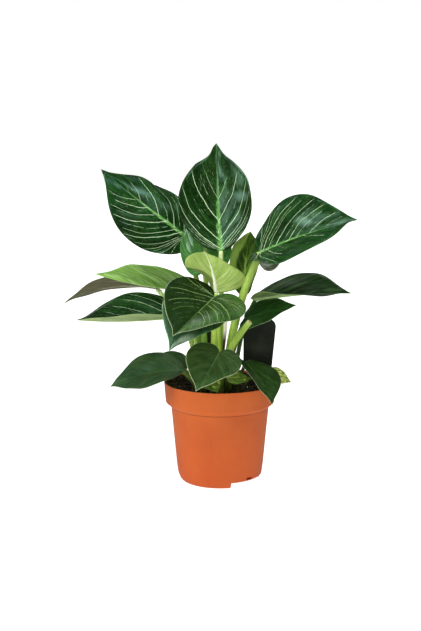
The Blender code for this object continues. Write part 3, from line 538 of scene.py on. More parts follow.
looks = {
    "striped": dict(),
    "sea": dict(dark="#061907", light="#174216", lines=0.85, ribWidth=3.3),
    "banded": dict(dark="#05130A", light="#11300F", lines=0.8,
        under=dict(dark="#6E8450", light="#9DB279", bronze="#7C8C60", stripe="#C2CDA6")),
    # veined: its sideToneAndShade is painted shade, darkening the blade from left of the midrib to the right
    # margin
    "veined": dict(dark="#213D17", light="#385D21", stripe="#93AF6A", rib="#67873F", edge="#BCCD94",
        vein="#527430", lines=1.0, flecks=0.0, grain=0.1, bands=0.5, ribWidth=0.9, ribFade=1.0, edgeWidth=0.6,
        sideToneAndShade=(-0.55, 0.05, "#0F2407", 0.85)),
    "glossy": dict(dark="#27492D", light="#426C4B", stripe="#8FB080", rib="#6F9450", edge="#86A064",
        vein="#4E8A5E", highlightTone="#C4D8C6", lines=0.25, flecks=0.1, bands=0.3, rough=0.24, coat=0.35, dull=0.2),
    "fresh": dict(dark="#27551D", light="#4B8A3C", bronze="#356320", stripe="#9CBF7E", rib="#7FA659",
        edge="#9DBA76", vein="#6EA860", lines=0.25, flecks=0.1, bands=0.4, rough=0.24, coat=0.35, dull=0.2),
    "bright": dict(
        under=dict(dark="#41741F", light="#88B850", bronze="#4E8028", stripe="#DAEEBC", rib="#B4D288",
            vein="#A9D07C", lines=1.0, streaks=1.0, bands=0.7)),
    "greyed": dict(dark="#2B4021", light="#475A33", vein="#5C7048", lines=0.3, flecks=0.2, bands=0.4,
        under=dict(dark="#36452A", light="#625B41", bronze="#5A4634", stripe="#7C8264", rib="#959A7B",
            vein="#80806A", streaks=0.6)),
    "matte": dict(dark="#22402A", light="#3F6238", bronze="#4C4A2A", stripe="#8A9C78", rib="#5B7440",
        edge="#87987A", vein="#4A6A42", lines=0.25, flecks=0.5, bands=0.2, ribWidth=1.1, edgeWidth=0.7,
        rough=0.46),
    "bronze": dict(dark="#25401C", light="#415E2F", bronze="#3B3F1F", stripe="#6A8048", rib="#667C46",
        edge="#C6CDA4", vein="#567040", lines=0.45, flecks=0.1, bands=0.5, ribWidth=0.9, edgeWidth=0.8,
        rough=0.42),
    "deep": dict(dark="#0E2205", light="#203C10", stripe="#5C7A40", rib="#47632C", edge="#A9B583",
        vein="#33501E", patch="#8DA33C", lines=0.25, flecks=0.1, bands=0.4, patches=0.12, ribWidth=0.9,
        edgeWidth=0.6, rough=0.34),
    "dark": dict(dark="#0A1C06", light="#19300F", stripe="#6E8A4E", rib="#3F5C2A", edge="#8A9C66",
        vein="#3A5828", lines=0.6, flecks=0.2, bands=0.6, ribWidth=1.1, rough=0.36,
        under=dict(dark="#668845", light="#9BB873")),
    "leafy": dict(dark="#0B2807", light="#17420F", stripe="#5E8440", rib="#2F5A20", edge="#9DB880",
        lines=0.15, flecks=0.1, ribWidth=0.9, edgeWidth=0.5, rough=0.36),
    "olive": dict(dark="#162A05", light="#2E4A0E", bronze="#1F2E08", stripe="#86A43C", rib="#7F9A40",
        vein="#64862C", lines=0.6, flecks=0.0, bands=0.6, rough=0.45, sideToneAndShade=(-0.5, -0.62, "#86A548", 0.9)),
    "young": dict(dark="#8CA850", light="#A9C068", bronze="#93AC56", stripe="#C3D08C", rib="#C9D29C",
        edge="#B8C67C", vein="#B8CC7C", lines=0.6, flecks=0.0, bands=0.4, rough=0.42,
        under=dict(dark="#7E9B42", light="#A7BE62", bronze="#7E9B42", stripe="#CBD896", rib="#EEF0DA",
            vein="#C0D284", lines=0.7, streaks=0.5, ribWidth=4.6)),
    "patched": dict(dark="#38571A", light="#5C7C30", stripe="#B7BE68", rib="#9AAB58", vein="#7E9A44",
        patch="#B4BC5A", lines=0.4, flecks=0.1, bands=0.4, patches=0.5, ribWidth=0.7, edgeWidth=0.3),
    "yellowed": dict(dark="#3C561A", light="#5F7A2C", stripe="#C6CF7C", rib="#B4C170", vein="#93AA50",
        patch="#B4BE68", lines=0.4, flecks=0.1, bands=0.4, patches=0.8, ribWidth=0.7, edgeWidth=0.3),
}


def creamMask(add, coords):
    # 1 on a cream line: |distance + wander| inside the half width, broken up where the line is weak
    line = add("SeparateXYZ", add("Attribute", attribute_name="line").outputs["Vector"])
    offset, width, strength = line.outputs
    # wander of up to twice the half width every 15 mm, and of half of it every 3 mm
    slow = add("TexNoise", coords, None, 65.0, 1.0)
    quick = add("TexNoise", coords, None, 320.0, 2.0, 0.6)
    shiver = add("Math MULTIPLY", add("Math SUBTRACT", quick, 0.5), 1.6)
    sway = add("Math MULTIPLY_ADD", add("Math SUBTRACT", slow, 0.5), 6.5, shiver)
    away = add("Math ABSOLUTE", add("Math MULTIPLY_ADD", sway, width, offset))
    # the line swells and thins
    outer = add("Math MULTIPLY", width, add("MapRange", quick, 0.3, 0.7, 0.65, 1.25))
    inner = add("Math MULTIPLY", outer, 0.5)
    mask = add("MapRange", away, inner, outer, 1.0, 0.0, interpolation_type="SMOOTHSTEP")
    low = add("Math MULTIPLY_ADD", strength, -0.62, 0.66)
    kept = add("MapRange", add("TexNoise", coords, None, 190.0), low, add("Math ADD", low, 0.16))
    whole = add("Math MULTIPLY", kept, add("Math MULTIPLY_ADD", strength, 0.65, 0.35))
    present = add("Math GREATER_THAN", strength, 0.02)
    return add("Math MULTIPLY", add("Math MULTIPLY", mask, whole), present)


# painted highlights, a pale waxy tone and more gloss. Each spot: across the blade (-1 left margin, 1 right
# margin), along it, half width and half length in the same shares, and strength
paintedHighlights = {
    "top": [(0.27, 0.74, 0.17, 0.12, 1.0), (0.69, 0.46, 0.24, 0.08, 1.0), (-0.16, 0.86, 0.16, 0.09, 0.4)],
    "upper_left": [(0.42, 0.62, 0.24, 0.20, 0.60), (0.30, 0.32, 0.20, 0.16, 0.15),
                   (-0.30, 0.80, 0.20, 0.12, 0.30)],
    "upper_right": [(-0.42, 0.50, 0.20, 0.12, 1.0), (0.0, 0.97, 1.0, 0.34, 0.85)],
    "front_glossy": [(-0.74, 0.80, 0.40, 0.18, 2.2), (-0.3, 0.92, 0.5, 0.13, 1.6),
                     (0.6, 0.60, 0.5, 0.4, 0.4)],
    "inner": [(0.3, 0.5, 0.4, 0.3, 0.3)],
    "low_left": [(0.35, 0.45, 0.35, 0.25, 0.25)],
}


def leafFinish(name, look, seed, highlightSpots=()):
    # colour: mottled green, faint fibres along the veins, flecks, midrib, cream lines, margin, then painted
    # highlights
    finish, add = newFinish(name)
    veins, place, reach = (add("SeparateXYZ", add("UVMap", uv_map=key)).outputs
                           for key in ("veins", "blade", "reach"))
    centred = add("Math MULTIPLY_ADD", veins[0], 2.0, -1.0)
    along, alongRib = veins[1], place[1]
    coords = add("TexCoord").outputs["Object"]

    def veinNoise(acrossVeins, alongVeins, shift, detail):
        # noise with so many bumps per blade across the veins and along them
        spot = add("CombineXYZ", add("Math MULTIPLY", along, acrossVeins),
                   add("Math MULTIPLY", centred, alongVeins), seed * 1.9 + shift)
        return add("TexNoise", spot, None, 1.0, detail, 0.6)

    # broad zones of darker and lighter green between the veins, and brownish ones
    mottle = add("TexNoise", coords, None, 55.0, 3.0, 0.6)
    zones = add("Math MULTIPLY_ADD", veinNoise(9.0, 2.2, 0.0, 3.0), 0.6, add("Math MULTIPLY", mottle, 0.4))
    colour = layer(add, look["dark"], look["light"], zones, 0.38, 0.66)
    colour = layer(add, colour, look["bronze"], veinNoise(5.0, 1.4, 9.0, 2.0), 0.5, 0.72, 0.0, 0.7)
    # fibres: 90 across the blade; main veins: 24 across it, a little lighter
    fibres = veinNoise(90.0, 2.4, 4.0, 3.0)
    colour = layer(add, colour, look["light"], fibres, 0.35, 0.8, 0.0, look["streaks"])
    colour = layer(add, colour, look["vein"], veinNoise(24.0, 1.2, 18.0, 1.0), 0.50, 0.66, 0.0, look["bands"])
    # a second tone across the blade: painted shade on the veined look, a paler strip along the left margin on
    # the olive look
    if look["sideToneAndShade"]:
        start, full, tone, amount = look["sideToneAndShade"]
        wandering = add("Math MULTIPLY_ADD", add("Math ADD", mottle, -0.5), 0.3, centred)
        colour = layer(add, colour, tone, wandering, start, full, 0.0, amount)
    # patches without green, stretched along the veins
    if look["patches"]:
        level = 0.78 - 0.42 * look["patches"]
        colour = layer(add, colour, look["patch"], veinNoise(11.0, 2.0, 2.0, 4.0), level, level + 0.06)
    # flecks are thin dashes a few millimetres long and grain is finer; each keeps to zones of its own
    for key, tone, dash, steep, zone, spread in (
            ("flecks", "stripe", (260.0, 6.0, 7.0, 0.0), (0.73, 0.83), (14.0, 3.0, 5.0, 1.0), (0.42, 0.62)),
            ("grain", "rib", (380.0, 16.0, 12.0, 1.0), (0.58, 0.74), (8.0, 2.0, 15.0, 1.0),
             (0.38, 0.6, 0.1))):
        if look[key]:
            dashes = add("MapRange", veinNoise(*dash), *steep, 0.0, look[key])
            where = add("MapRange", veinNoise(*zone), *spread)
            colour = add("MixRGB", add("Math MULTIPLY", dashes, where), colour, look[tone])
    # midrib: narrows and fades to the tip, with feathered edges and a few pale dashes
    wide = look["ribWidth"] / reachScale
    feather = add("MapRange", veinNoise(60.0, 9.0, 3.0, 1.0), 0.3, 0.7, 0.55, 1.35)
    ribWidth = add("Math MULTIPLY", add("MapRange", alongRib, 0.0, 0.75, wide, 0.14 * wide), feather)
    rib = add("MapRange", reach[0], add("Math MULTIPLY", ribWidth, 0.3), ribWidth, 1.0, 0.0,
              interpolation_type="SMOOTHSTEP")
    ribFade = add("MapRange", alongRib, 0.30, 0.80, 0.95, 0.95 * (1.0 - look["ribFade"]))
    rib = add("Math MULTIPLY", rib, ribFade)
    ribTone = layer(add, look["rib"], look["stripe"], veinNoise(45.0, 30.0, 6.0, 1.0), 0.56, 0.66, 0.0, 0.7)
    colour = add("MixRGB", rib, colour, ribTone)
    # the cream lines thin out towards the margin, which has its own tone
    thinning = add("MapRange", reach[1], 0.0, 7.0 / reachScale, 0.35 * look["lines"], look["lines"])
    colour = add("MixRGB", add("Math MULTIPLY", creamMask(add, coords), thinning), colour, look["stripe"])
    rim = look["edgeWidth"] / reachScale
    colour = layer(add, colour, look["edge"], reach[1], rim / 2, rim, 0.8, 0.0)
    # glossy patches of the waxy skin, 20 mm long, between duller ones
    patchy = add("Math MULTIPLY_ADD", veinNoise(6.0, 2.4, 21.0, 2.0), 0.5, add("Math MULTIPLY", mottle, 0.5))
    gloss = add("MapRange", patchy, 0.42, 0.60, 0.5 * (1.0 - look["dull"]), 0.55)
    if highlightSpots:
        # painted highlights: a pale tone, full in the middle of a spot and gone beyond 1.35 of its size;
        # glossier too
        where, pale = add("CombineXYZ", centred, alongRib), None
        for across, up, wide, long, strength in highlightSpots:
            spot = add("Mapping", where, (-across / wide, -up / long, 0.0), None, (1 / wide, 1 / long, 1.0))
            away = add("Math MULTIPLY_ADD", fibres, 0.8, add("VectorMath LENGTH", spot).outputs["Value"])
            lit = add("MapRange", away, 0.4, 1.35, strength, 0.0, interpolation_type="SMOOTHSTEP")
            pale = add("Math MAXIMUM", pale, lit) if pale else lit
        colour = add("MixRGB", add("Math MULTIPLY", pale, 0.40), colour, look["highlightTone"])
        gloss = add("Math MINIMUM", add("Math MULTIPLY_ADD", pale, 0.5, gloss), 0.9)
    # cell texture of the skin, about 1 mm, over the fibres, and a slow change of roughness
    skin = add("TexNoise", coords, None, 900.0)
    relief = add("Math MULTIPLY_ADD", skin, 0.4, add("Math MULTIPLY", fibres, 0.8))
    rough = add("MapRange", mottle, 0.3, 0.7, look["rough"] - 0.06, look["rough"] + 0.08)
    add("OutputMaterial", add("BsdfPrincipled", colour, sockets={
        "Roughness": rough, "IOR": 1.42, "Normal": add("Bump", 0.35, 0.00025, None, relief),
        "Specular IOR Level": gloss, "Specular Tint": look["sheen"], "Coat Weight": look["coat"],
        "Coat Roughness": 0.18}))
    return finish


def addLeaves():
    for name, given in leaves.items():
        leaf = plainLeaf | given
        lines = [np.array(half) / 100 for half in creamLines.get(name, ())]
        lines = lines or [someLines(leaf, side) for side in (-1, 1)]
        look, seed = looks[leaf["look"]], leaf["seed"]
        under = plainUnder | look.get("under", {})
        finishes = [leafFinish(f"{name} leaf, waxy top", plainLook | look, seed, paintedHighlights.get(name, ())),
                    leafFinish(f"{name} leaf, matte underside", under, seed)]
        addBlade(f"{name}_blade", leaf, lines, finishes, "young_leaf" if name == "young" else "leaf")


addLeaves()
print("leaves:", len(leaves))


def addSheet(name, points, shares, finish, slot, thickness):
    # a thin curved sheet: a grid of points, with the two shares that its finish reads, made thick
    faces = gridFaces(*points.shape[:2])
    corners = shares.reshape(-1, 2)[faces.ravel()]
    piece = addPiece(name, points.reshape(-1, 3), faces, [finish], slot, uvs={"UVMap": corners})
    piece.modifiers.new("thickness", "SOLIDIFY").thickness = thickness * mm


# far lobe of the upper right leaf, which hangs behind the near one. ends: its upper corners; drop: how far
# it hangs; lean: how far its lower edge comes forward
farLobe = dict(ends=((40.0, -8.0, 242.0), (63.5, -22.0, 247.0)), drop=16.5, lean=4.0, thickness=0.5,
               grid=(40, 16))


def addFarLobe():
    # between the corners, lowered by drop*sin(pi s)^0.45*v and brought forward by lean*v^2
    start, end = (np.array(corner) for corner in farLobe["ends"])
    rows, columns = farLobe["grid"]
    s, v = np.meshgrid(np.linspace(0.02, 0.98, rows), np.linspace(0.0, 1.0, columns), indexing="ij")
    hang = np.sin(math.pi * s) ** 0.45 * v
    points = start + (end - start) * s[..., None]
    points = points + np.stack([0 * s, -farLobe["lean"] * v ** 2, -farLobe["drop"] * hang], -1)
    finish, add = newFinish("basal lobe, grey-green underside")
    # veins 3 mm apart along the lobe
    stretched = add("Mapping", add("UVMap", uv_map="UVMap"), None, None, (1.0, 4.5, 1.0))
    tone = layer(add, "#454C3A", "#A6ADA2", add("TexNoise", stretched, None, 1.0, 3.0), 0.42, 0.58)
    add("OutputMaterial", add("BsdfPrincipled", tone, sockets={"Roughness": 0.5, "IOR": 1.42}))
    addSheet("upper_right_far_lobe", points, np.stack([s, v], -1), finish, "leaf", farLobe["thickness"])


addFarLobe()


# below: how far under the blade the stalk ends; mostLean: how far from upright it may arrive, in degrees
stalk = dict(steps=48, sides=28, flare=0.30, flareLength=0.10, groove=0.16, reach=0.36, below=0.9,
             mostLean=75.0)
cutStalk = dict(foot=(267, 19), top=(30.5, -32, 177), lean=1.7, stalk=(5.0, 3.2))
# wall: radius and height of the soil's corners from its edge down to the middle of the base
soil = dict(edge=96.0, dome=3.0, rim=60.0, bank=8.0, bumps=1.1, rings=90, sides=160, radius=56.6,
            wall=((56.1, 86.3), (50.4, 81.0), (44.6, 16.0), (39.8, 8.7), (21.0, 8.7), (18.6, 1.7),
                  (0.0, 1.7)),
            lumpReach=(7.0, 55.5), fibreReach=(8.0, 53.0), crumbs=1500, bark=120, grains=16, fibres=70)


def soilHeight(radius):
    # domed: edge + dome*(1 - (r/rim)^2)
    return soil["edge"] + soil["dome"] * (1.0 - (radius / soil["rim"]) ** 2)


def stalkPath(foot, top, lean):
    # one cubic curve, upright at the foot, arriving lean times as far from upright as its chord
    direction, distance = math.radians(foot[0]), foot[1]
    foot = np.array([distance * math.cos(direction), distance * math.sin(direction), soilHeight(distance)])
    top = np.array(top, float)
    sideways = top[:2] - foot[:2]
    spread, rise = np.linalg.norm(sideways), top[2] - foot[2]
    angle = min(lean * math.atan2(spread, rise), math.radians(stalk["mostLean"]))
    flat = sideways / max(spread, 1e-6)
    arrive = np.array([flat[0] * math.sin(angle), flat[1] * math.sin(angle), math.cos(angle)])
    reach = stalk["reach"] * math.hypot(spread, rise)
    return np.array([foot, foot + [0.0, 0.0, reach], top - arrive * reach, top])


def addStalk(name, node, path, radii, finish):
    # a tube of rings along the path, closed at both ends. Its radius is foot + (top - foot)*t^0.8, flared by
    # flare*exp(-t/flareLength) at the foot; the inner side is flattened by groove*exp(-(angle/0.55)^2), and
    # low ridges run round it
    sides = stalk["sides"]
    t = np.linspace(0.0, 1.0, stalk["steps"] + 1)
    centre = cubic(path, t)
    tangent = np.gradient(centre, axis=0)
    tangent /= np.linalg.norm(tangent, axis=1, keepdims=True)
    inward = -np.array([path[3][0] + 1e-3, path[3][1], 0.0]) + [path[0][0], path[0][1], 0.0]
    side = inward - tangent * (tangent @ inward)[:, None]
    side /= np.linalg.norm(side, axis=1, keepdims=True)
    other = np.cross(tangent, side)
    angle = fullTurn(sides)
    ring = side[:, None] * np.cos(angle)[:, None] + other[:, None] * np.sin(angle)[:, None]
    flare = 1 + stalk["flare"] * np.exp(-t / stalk["flareLength"])
    radius = (radii[0] + (radii[1] - radii[0]) * t ** 0.8) * flare
    fromInside = np.minimum(angle, 2 * math.pi - angle)
    ridges = 0.012 * np.cos(9 * angle) + 0.015 * np.cos(4 * angle + 6 * t[:, None])
    flattened = stalk["groove"] * np.exp(-(fromInside / 0.55) ** 2) * smoothStep(0.02, 0.2, t)[:, None]
    size = radius[:, None] * (1.0 - flattened + ridges)
    points = (centre[:, None] + ring * size[..., None]).reshape(-1, 3)
    piece = addPiece(name, points, tubeFaces(len(t), sides), [finish], "stalk", node, merge=False)
    up = piece.data.attributes.new("upStalk", "FLOAT", "POINT")
    up.data.foreach_set("value", np.repeat(t, sides).astype(np.float32))


# Stalks are smooth living stems: satin, IOR 1.45, pale green with darker fibres along them, and a little
# brown low down, where they leave the soil.
stalkTones = {
    "plain": dict(foot="#6F8640", middle="#7F9D3C", top="#93B052", fibre="#5F812C"),
    "pale": dict(foot="#96A860", middle="#A8C264", top="#CADD9C", fibre="#7E9C4B"),
    "deep": dict(foot="#66842F", middle="#6B9232", top="#7FA640", fibre="#38591C"),
    "bright": dict(foot="#88A23E", middle="#8FAF42", top="#A5C35C", fibre="#65892D"),
    # shaded is painted shade: a darker copy of the stem green for stalks in the shade of the leaves
    "shaded": dict(foot="#34491C", middle="#36531F", top="#42632A", fibre="#263C14"),
    "vivid": dict(foot="#9CBA42", middle="#BBDB55", top="#C4E070", fibre="#86AC34"),
    "cut": dict(foot="#7F9A36", middle="#92B43E", top="#A0C052", fibre="#668A28", dry="#BDBB84"),
}
stalkLook = dict(top="pale", upper_right="bright", young="vivid", front_large="vivid", left_bright="deep",
                 left_striped="bright", front_glossy="deep", left_far="pale", right_low="shaded",
                 low_front="shaded", small_inner="shaded", low_right="shaded", right_high="shaded")


def stalkFinish(name, tone):
    finish, add = newFinish(f"{name} stalk, smooth stem")
    up = add("Attribute", attribute_name="upStalk").outputs["Fac"]
    coords = add("TexCoord").outputs["Object"]
    # fibres 1.5 mm apart and 25 mm long
    fibres = add("TexNoise", add("Mapping", coords, None, None, (650.0, 650.0, 38.0)), None, 1.0, 3.0, 0.6)
    colour = layer(add, tone["foot"], tone["middle"], up, 0.0, 0.35)
    colour = layer(add, colour, tone["top"], up, 0.45, 1.0)
    colour = layer(add, colour, tone["fibre"], fibres, 0.45, 0.75, 0.0, 0.6)
    blot = add("TexNoise", coords, None, 160.0, 3.0)
    brown = add("Math MULTIPLY", add("MapRange", blot, 0.52, 0.68, 0.0, 0.55),
                add("MapRange", up, 0.04, 0.30, 1.0, 0.0))
    colour = add("MixRGB", brown, colour, "#6B4A22")
    # painted shade: darker low down near the soil, fading out over 28 mm
    colour = layer(add, colour, "#2A2A10", add("SeparateXYZ", coords).outputs[2], 0.100, 0.128, 0.75, 0.0)
    if "dry" in tone:  # shrivelled end, browner at the very edge
        ragged = add("Math MULTIPLY_ADD", blot, 0.05, up)
        colour = layer(add, colour, tone["dry"], ragged, 1.004, 1.022, 0.0, 0.85)
        colour = layer(add, colour, "#7A5A34", ragged, 1.022, 1.032, 0.0, 0.8)
    add("OutputMaterial", add("BsdfPrincipled", colour, sockets={
        "Roughness": 0.4, "IOR": 1.45, "Normal": add("Bump", 0.3, 0.0003, None, fibres)}))
    return finish


def addStalks():
    finishes = {key: stalkFinish(key, tone) for key, tone in stalkTones.items()}
    for name, given in leaves.items():
        leaf = plainLeaf | given
        top = np.array(leaf["at"]) - leafFrame(leaf)[2] * stalk["below"]
        path = stalkPath(leaf["foot"], top, leaf["lean"])
        finish = finishes[stalkLook.get(name, "plain")]
        addStalk(f"{name}_petiole", f"{name}_stalk", path, leaf["stalk"], finish)
    path = stalkPath(cutStalk["foot"], cutStalk["top"], cutStalk["lean"])
    addStalk("cut_petiole", "cut_stalk", path, cutStalk["stalk"], finishes["cut"])


addStalks()
print("stalks:", len(leaves) + 1)


# sheaths: old leaf bases that wrap the stem. rows: height, left edge, right edge and depth, in mm. swell:
# how far the middle stands forward. green: share of the width that is still alive, from the left; the rest
# is the dried edge, which on the green sheath is near-black painted shade
sheath = dict(grid=(60, 15), thickness=0.4)
sheaths = {
    "dry_sheath": dict(
        rows=((99, -1.0, 3.0, -6.6), (120, -2.0, 3.2, -5.9), (130, -2.0, 4.0, -5.6), (145, -2.0, 5.4, -5.0),
              (165, -2.5, 7.6, -4.6), (186, -2.0, 8.0, -4.4), (192, 1.0, 4.0, -4.4)),
        swell=0.6, green=0.62, living="#8FB038", shade="#6E8E2C", driedAndShade="#F2EBDD", brown="#4A3412"),
    # its right part, near-black green, is painted shade in the gap between the stalks
    "green_sheath": dict(
        rows=((99, -13.0, -9.0, -2.0), (120, -17.0, -8.6, -2.0), (140, -23.0, -8.4, -2.0),
              (160, -27.0, -8.4, -2.0), (172, -22.0, -12.0, -2.0), (176, -18.0, -15.0, -2.0)),
        swell=1.0, green=0.70, living="#7FA838", shade="#4C6E22", driedAndShade="#1E2E0E", brown="#15200A"),
}


def sheathFinish(name, look):
    # leaf base gone papery along one edge: green and fibrous, then dull and dry, brown low down; on the green
    # sheath that edge is near-black painted shade
    finish, add = newFinish(f"{name}, papery leaf base")
    coords = add("TexCoord").outputs["Object"]
    # fibres 1 mm apart and 20 mm long
    fibres = add("TexNoise", add("Mapping", coords, None, None, (1000.0, 1000.0, 50.0)), None, 1.0, 3.0)
    alive = layer(add, look["living"], look["shade"], fibres, 0.4, 0.65)
    deadAndShade = layer(add, look["brown"], look["driedAndShade"], add("SeparateXYZ", coords).outputs[2], 0.152, 0.163)
    edge = add("Math MULTIPLY_ADD", fibres, 0.10, add("SeparateXYZ", add("UVMap", uv_map="UVMap")))
    colour = layer(add, alive, deadAndShade, edge, look["green"], look["green"] + 0.06)
    add("OutputMaterial", add("BsdfPrincipled", colour, sockets={"Roughness": 0.6}))
    return finish


def addSheath(name, given):
    # ruled between the two edges, with depth - swell*(1 - u^2) across, u from -1 to 1
    rows = np.array(given["rows"], float)
    z = np.linspace(rows[0, 0], rows[-1, 0], sheath["grid"][0])[:, None]
    left, right, depth = (np.interp(z, rows[:, 0], rows[:, k]) for k in (1, 2, 3))
    u = np.linspace(-1.0, 1.0, sheath["grid"][1])
    x = (left + right) / 2 + (right - left) / 2 * u
    points = np.stack([x, depth - given["swell"] * (1 - u ** 2), z + 0 * u], -1)
    shares = np.stack([(u + 1) / 2 + 0 * x, (z - z[0]) / (z[-1] - z[0]) + 0 * x], -1)
    addSheet(name, points, shares, sheathFinish(name, given), "stalk", sheath["thickness"])


for name, given in sheaths.items():
    addSheath(name, given)
print("sheaths:", len(sheaths))


crown = dict(height=24.0, radius=5.6, gap=0.3, scarGap=2.0, rings=40, sides=40,
             tones=dict(foot="#6E6A3C", middle="#7F9147", top="#8FA552", fibre="#4E5A26"))


def addCrown():
    # short stem: radius*(1 - 0.45 z^2), rounded off at the top by sqrt(1 - 0.9 z^8), with the ring scars of
    # old leaves, 0.06*cos(pi*height/scarGap)^4, and three blunt corners
    sides, height = crown["sides"], crown["height"]
    foot = soilHeight(0.0) + crown["gap"]
    z = np.linspace(0.0, 1.0, crown["rings"])[:, None]
    angle = fullTurn(sides)
    scars = 0.06 * np.cos(math.pi * z * height / crown["scarGap"]) ** 4 + 0.05 * np.cos(3 * angle + 5 * z)
    radius = crown["radius"] * (1.0 - 0.45 * z ** 2) * (1 + scars) * np.sqrt(1 - 0.9 * z ** 8)
    points = polar(radius, angle, foot + height * z)
    points[0, :, :2] = points[1, :, :2]
    points[-1, :, :2] = 0.0
    points = np.concatenate([points.reshape(-1, 3), [[0.0, 0.0, foot]]])
    fan = [[(i + 1) % sides, i, len(points) - 1] for i in range(sides)]
    faces = gridFaces(crown["rings"], sides, wrap=True).tolist() + fan
    addPiece("crown_stem", points, faces, [stalkFinish("crown", crown["tones"])], "stalk", "crown")


addCrown()


def soilFinish():
    # moist peat: near black with brown lumps and pale fibres, rough, with a damp glint
    finish, add = newFinish("moist peat")
    coords = add("TexCoord").outputs["Object"]
    lumps = add("TexNoise", coords, None, 420.0, 6.0, 0.7)
    colour = layer(add, "#130D08", "#40311F", lumps, 0.4, 0.68)
    colour = layer(add, colour, "#6B5334", add("TexNoise", coords, None, 1500.0, 3.0), 0.62, 0.75, 0.0, 0.7)
    rough = add("MapRange", lumps, 0.35, 0.7, 0.7, 0.95)
    add("OutputMaterial", add("BsdfPrincipled", colour, sockets={
        "Roughness": rough, "Normal": add("Bump", 0.9, 0.0012, None, lumps)}))
    return finish


def soilSurface(x, y):
    # the dome plus four crossed waves, banked up against the wall away from the front
    radius = np.hypot(x, y)
    behind = smoothStep(-0.45, 0.15, y / np.maximum(radius, 1.0))
    bank = soil["bank"] * smoothStep(36.0, 53.0, radius) * behind
    lumps = (np.sin(0.31 * x + 0.9) * np.cos(0.27 * y) + 0.6 * np.sin(0.71 * x - 0.53 * y)
             + 0.4 * np.cos(1.3 * y + 0.8 * x) + 0.3 * np.sin(1.9 * x + 2.3 * y))
    return soilHeight(radius) + bank + soil["bumps"] * 0.5 * (lumps - 0.7)


def addSoil(finish):
    # polar grid: rings run out along the surface, over the edge and down the wall to the base
    angle, wall = fullTurn(soil["sides"]), np.array(soil["wall"])
    surface = polar(np.linspace(0.0, soil["radius"], soil["rings"])[:, None], angle, 0.0)
    surface[..., 2] = soilSurface(surface[..., 0], surface[..., 1])
    points = np.concatenate([surface, polar(wall[:, :1], angle, wall[:, 1:])])
    faces = gridFaces(len(points), soil["sides"], wrap=True)
    addPiece("peat_surface", points.reshape(-1, 3), faces, [finish], "potting_soil", "potting_soil")


def scatter(count, low, high, seed):
    # random places on the soil between two radii, away from the middle
    random = np.random.default_rng(seed)
    radius = np.sqrt(random.uniform(low ** 2, high ** 2, count))
    angle = random.uniform(0.0, 2 * math.pi, count)
    return radius * np.cos(angle), radius * np.sin(angle), random


def lumpShape():
    # an icosahedron's points and faces
    g = (1 + 5 ** 0.5) / 2
    points = np.array([(-1, g, 0), (1, g, 0), (-1, -g, 0), (1, -g, 0), (0, -1, g), (0, 1, g), (0, -1, -g),
                       (0, 1, -g), (g, 0, -1), (g, 0, 1), (-g, 0, -1), (-g, 0, 1)]) / math.hypot(1, g)
    faces = [(0, 11, 5), (0, 5, 1), (0, 1, 7), (0, 7, 10), (0, 10, 11), (1, 5, 9), (5, 11, 4), (11, 10, 2),
             (10, 7, 6), (7, 1, 8), (3, 9, 4), (3, 4, 2), (3, 2, 6), (3, 6, 8), (3, 8, 9), (4, 9, 5),
             (2, 4, 11), (6, 2, 10), (8, 6, 7), (9, 8, 1)]
    return points, np.array(faces)


def addLumps(name, count, sizes, seed, finish):
    # each lump is the icosahedron stretched by three random sizes and roughened by 25 percent
    shape, faces = lumpShape()
    x, y, random = scatter(count, *soil["lumpReach"], seed)
    size = sizes[0] + (sizes[1] - sizes[0]) * random.random((count, 1, 1)) ** 3
    stretch = random.uniform(0.55, 1.25, (count, 1, 3))
    turn = np.linalg.qr(random.normal(size=(count, 3, 3)))[0]
    turn *= np.sign(np.linalg.det(turn))[:, None, None]
    lumps = shape[None] * (1 + random.uniform(-0.25, 0.25, (count, 12, 1))) * stretch * size
    lumps = np.einsum("nij,nkj->nik", lumps, turn)
    lumps += np.stack([x, y, soilSurface(x, y) + 0.25 * size[:, 0, 0]], -1)[:, None]
    allFaces = faces[None] + (np.arange(count) * 12)[:, None, None]
    addPiece(name, lumps.reshape(-1, 3), allFaces.reshape(-1, 3), [finish], "potting_soil", merge=False)


def addFibres(name, count, length, thick, seed, finish):
    # thin three-sided strands: a shallow arc lying on the soil, both ends closed
    rings, sides = 9, 3
    x, y, random = scatter(count, *soil["fibreReach"], seed)
    heading = random.uniform(0.0, 2 * math.pi, count)
    bend = random.uniform(-1.2, 1.2, count)
    size = random.uniform(*length, count)
    t = np.linspace(-0.5, 0.5, rings)
    turn = heading[:, None] + bend[:, None] * t
    run = size[:, None] * t
    px, py = x[:, None] + run * np.cos(turn), y[:, None] + run * np.sin(turn)
    inside = np.minimum(1.0, 55.0 / np.maximum(np.hypot(px, py), 1e-6))
    px, py = px * inside, py * inside
    pz = soilSurface(px, py) + 0.6 + random.uniform(0.0, 1.6, count)[:, None] * (0.25 - t ** 2) * 4
    centre = np.stack([px, py, pz], -1)[:, :, None]
    angle = fullTurn(sides)[:, None]
    side = np.stack([-np.sin(turn), np.cos(turn), 0 * turn], -1)[:, :, None]
    ring = side * np.cos(angle) + [0.0, 0.0, 1.0] * np.sin(angle)
    points = centre + ring * (thick * (1 - 1.6 * t ** 2))[:, None, None]
    strand = tubeFaces(rings, sides)
    faces = [[index + rings * sides * k for index in face] for k in range(count) for face in strand]
    piece = addPiece(name, points.reshape(-1, 3), faces, [finish], "potting_soil", merge=False)
    piece.data.shade_flat()


def simpleFinish(name, colour, second, scale, rough, bumpHeight):
    # two tones mixed by noise of the given scale per metre, with a bump of the same noise
    finish, add = newFinish(name)
    noise = add("TexNoise", add("TexCoord").outputs["Object"], None, scale, 4.0, 0.6)
    add("OutputMaterial", add("BsdfPrincipled", layer(add, colour, second, noise, 0.35, 0.65), sockets={
        "Roughness": rough, "Normal": add("Bump", 0.5, bumpHeight, None, noise)}))
    return finish


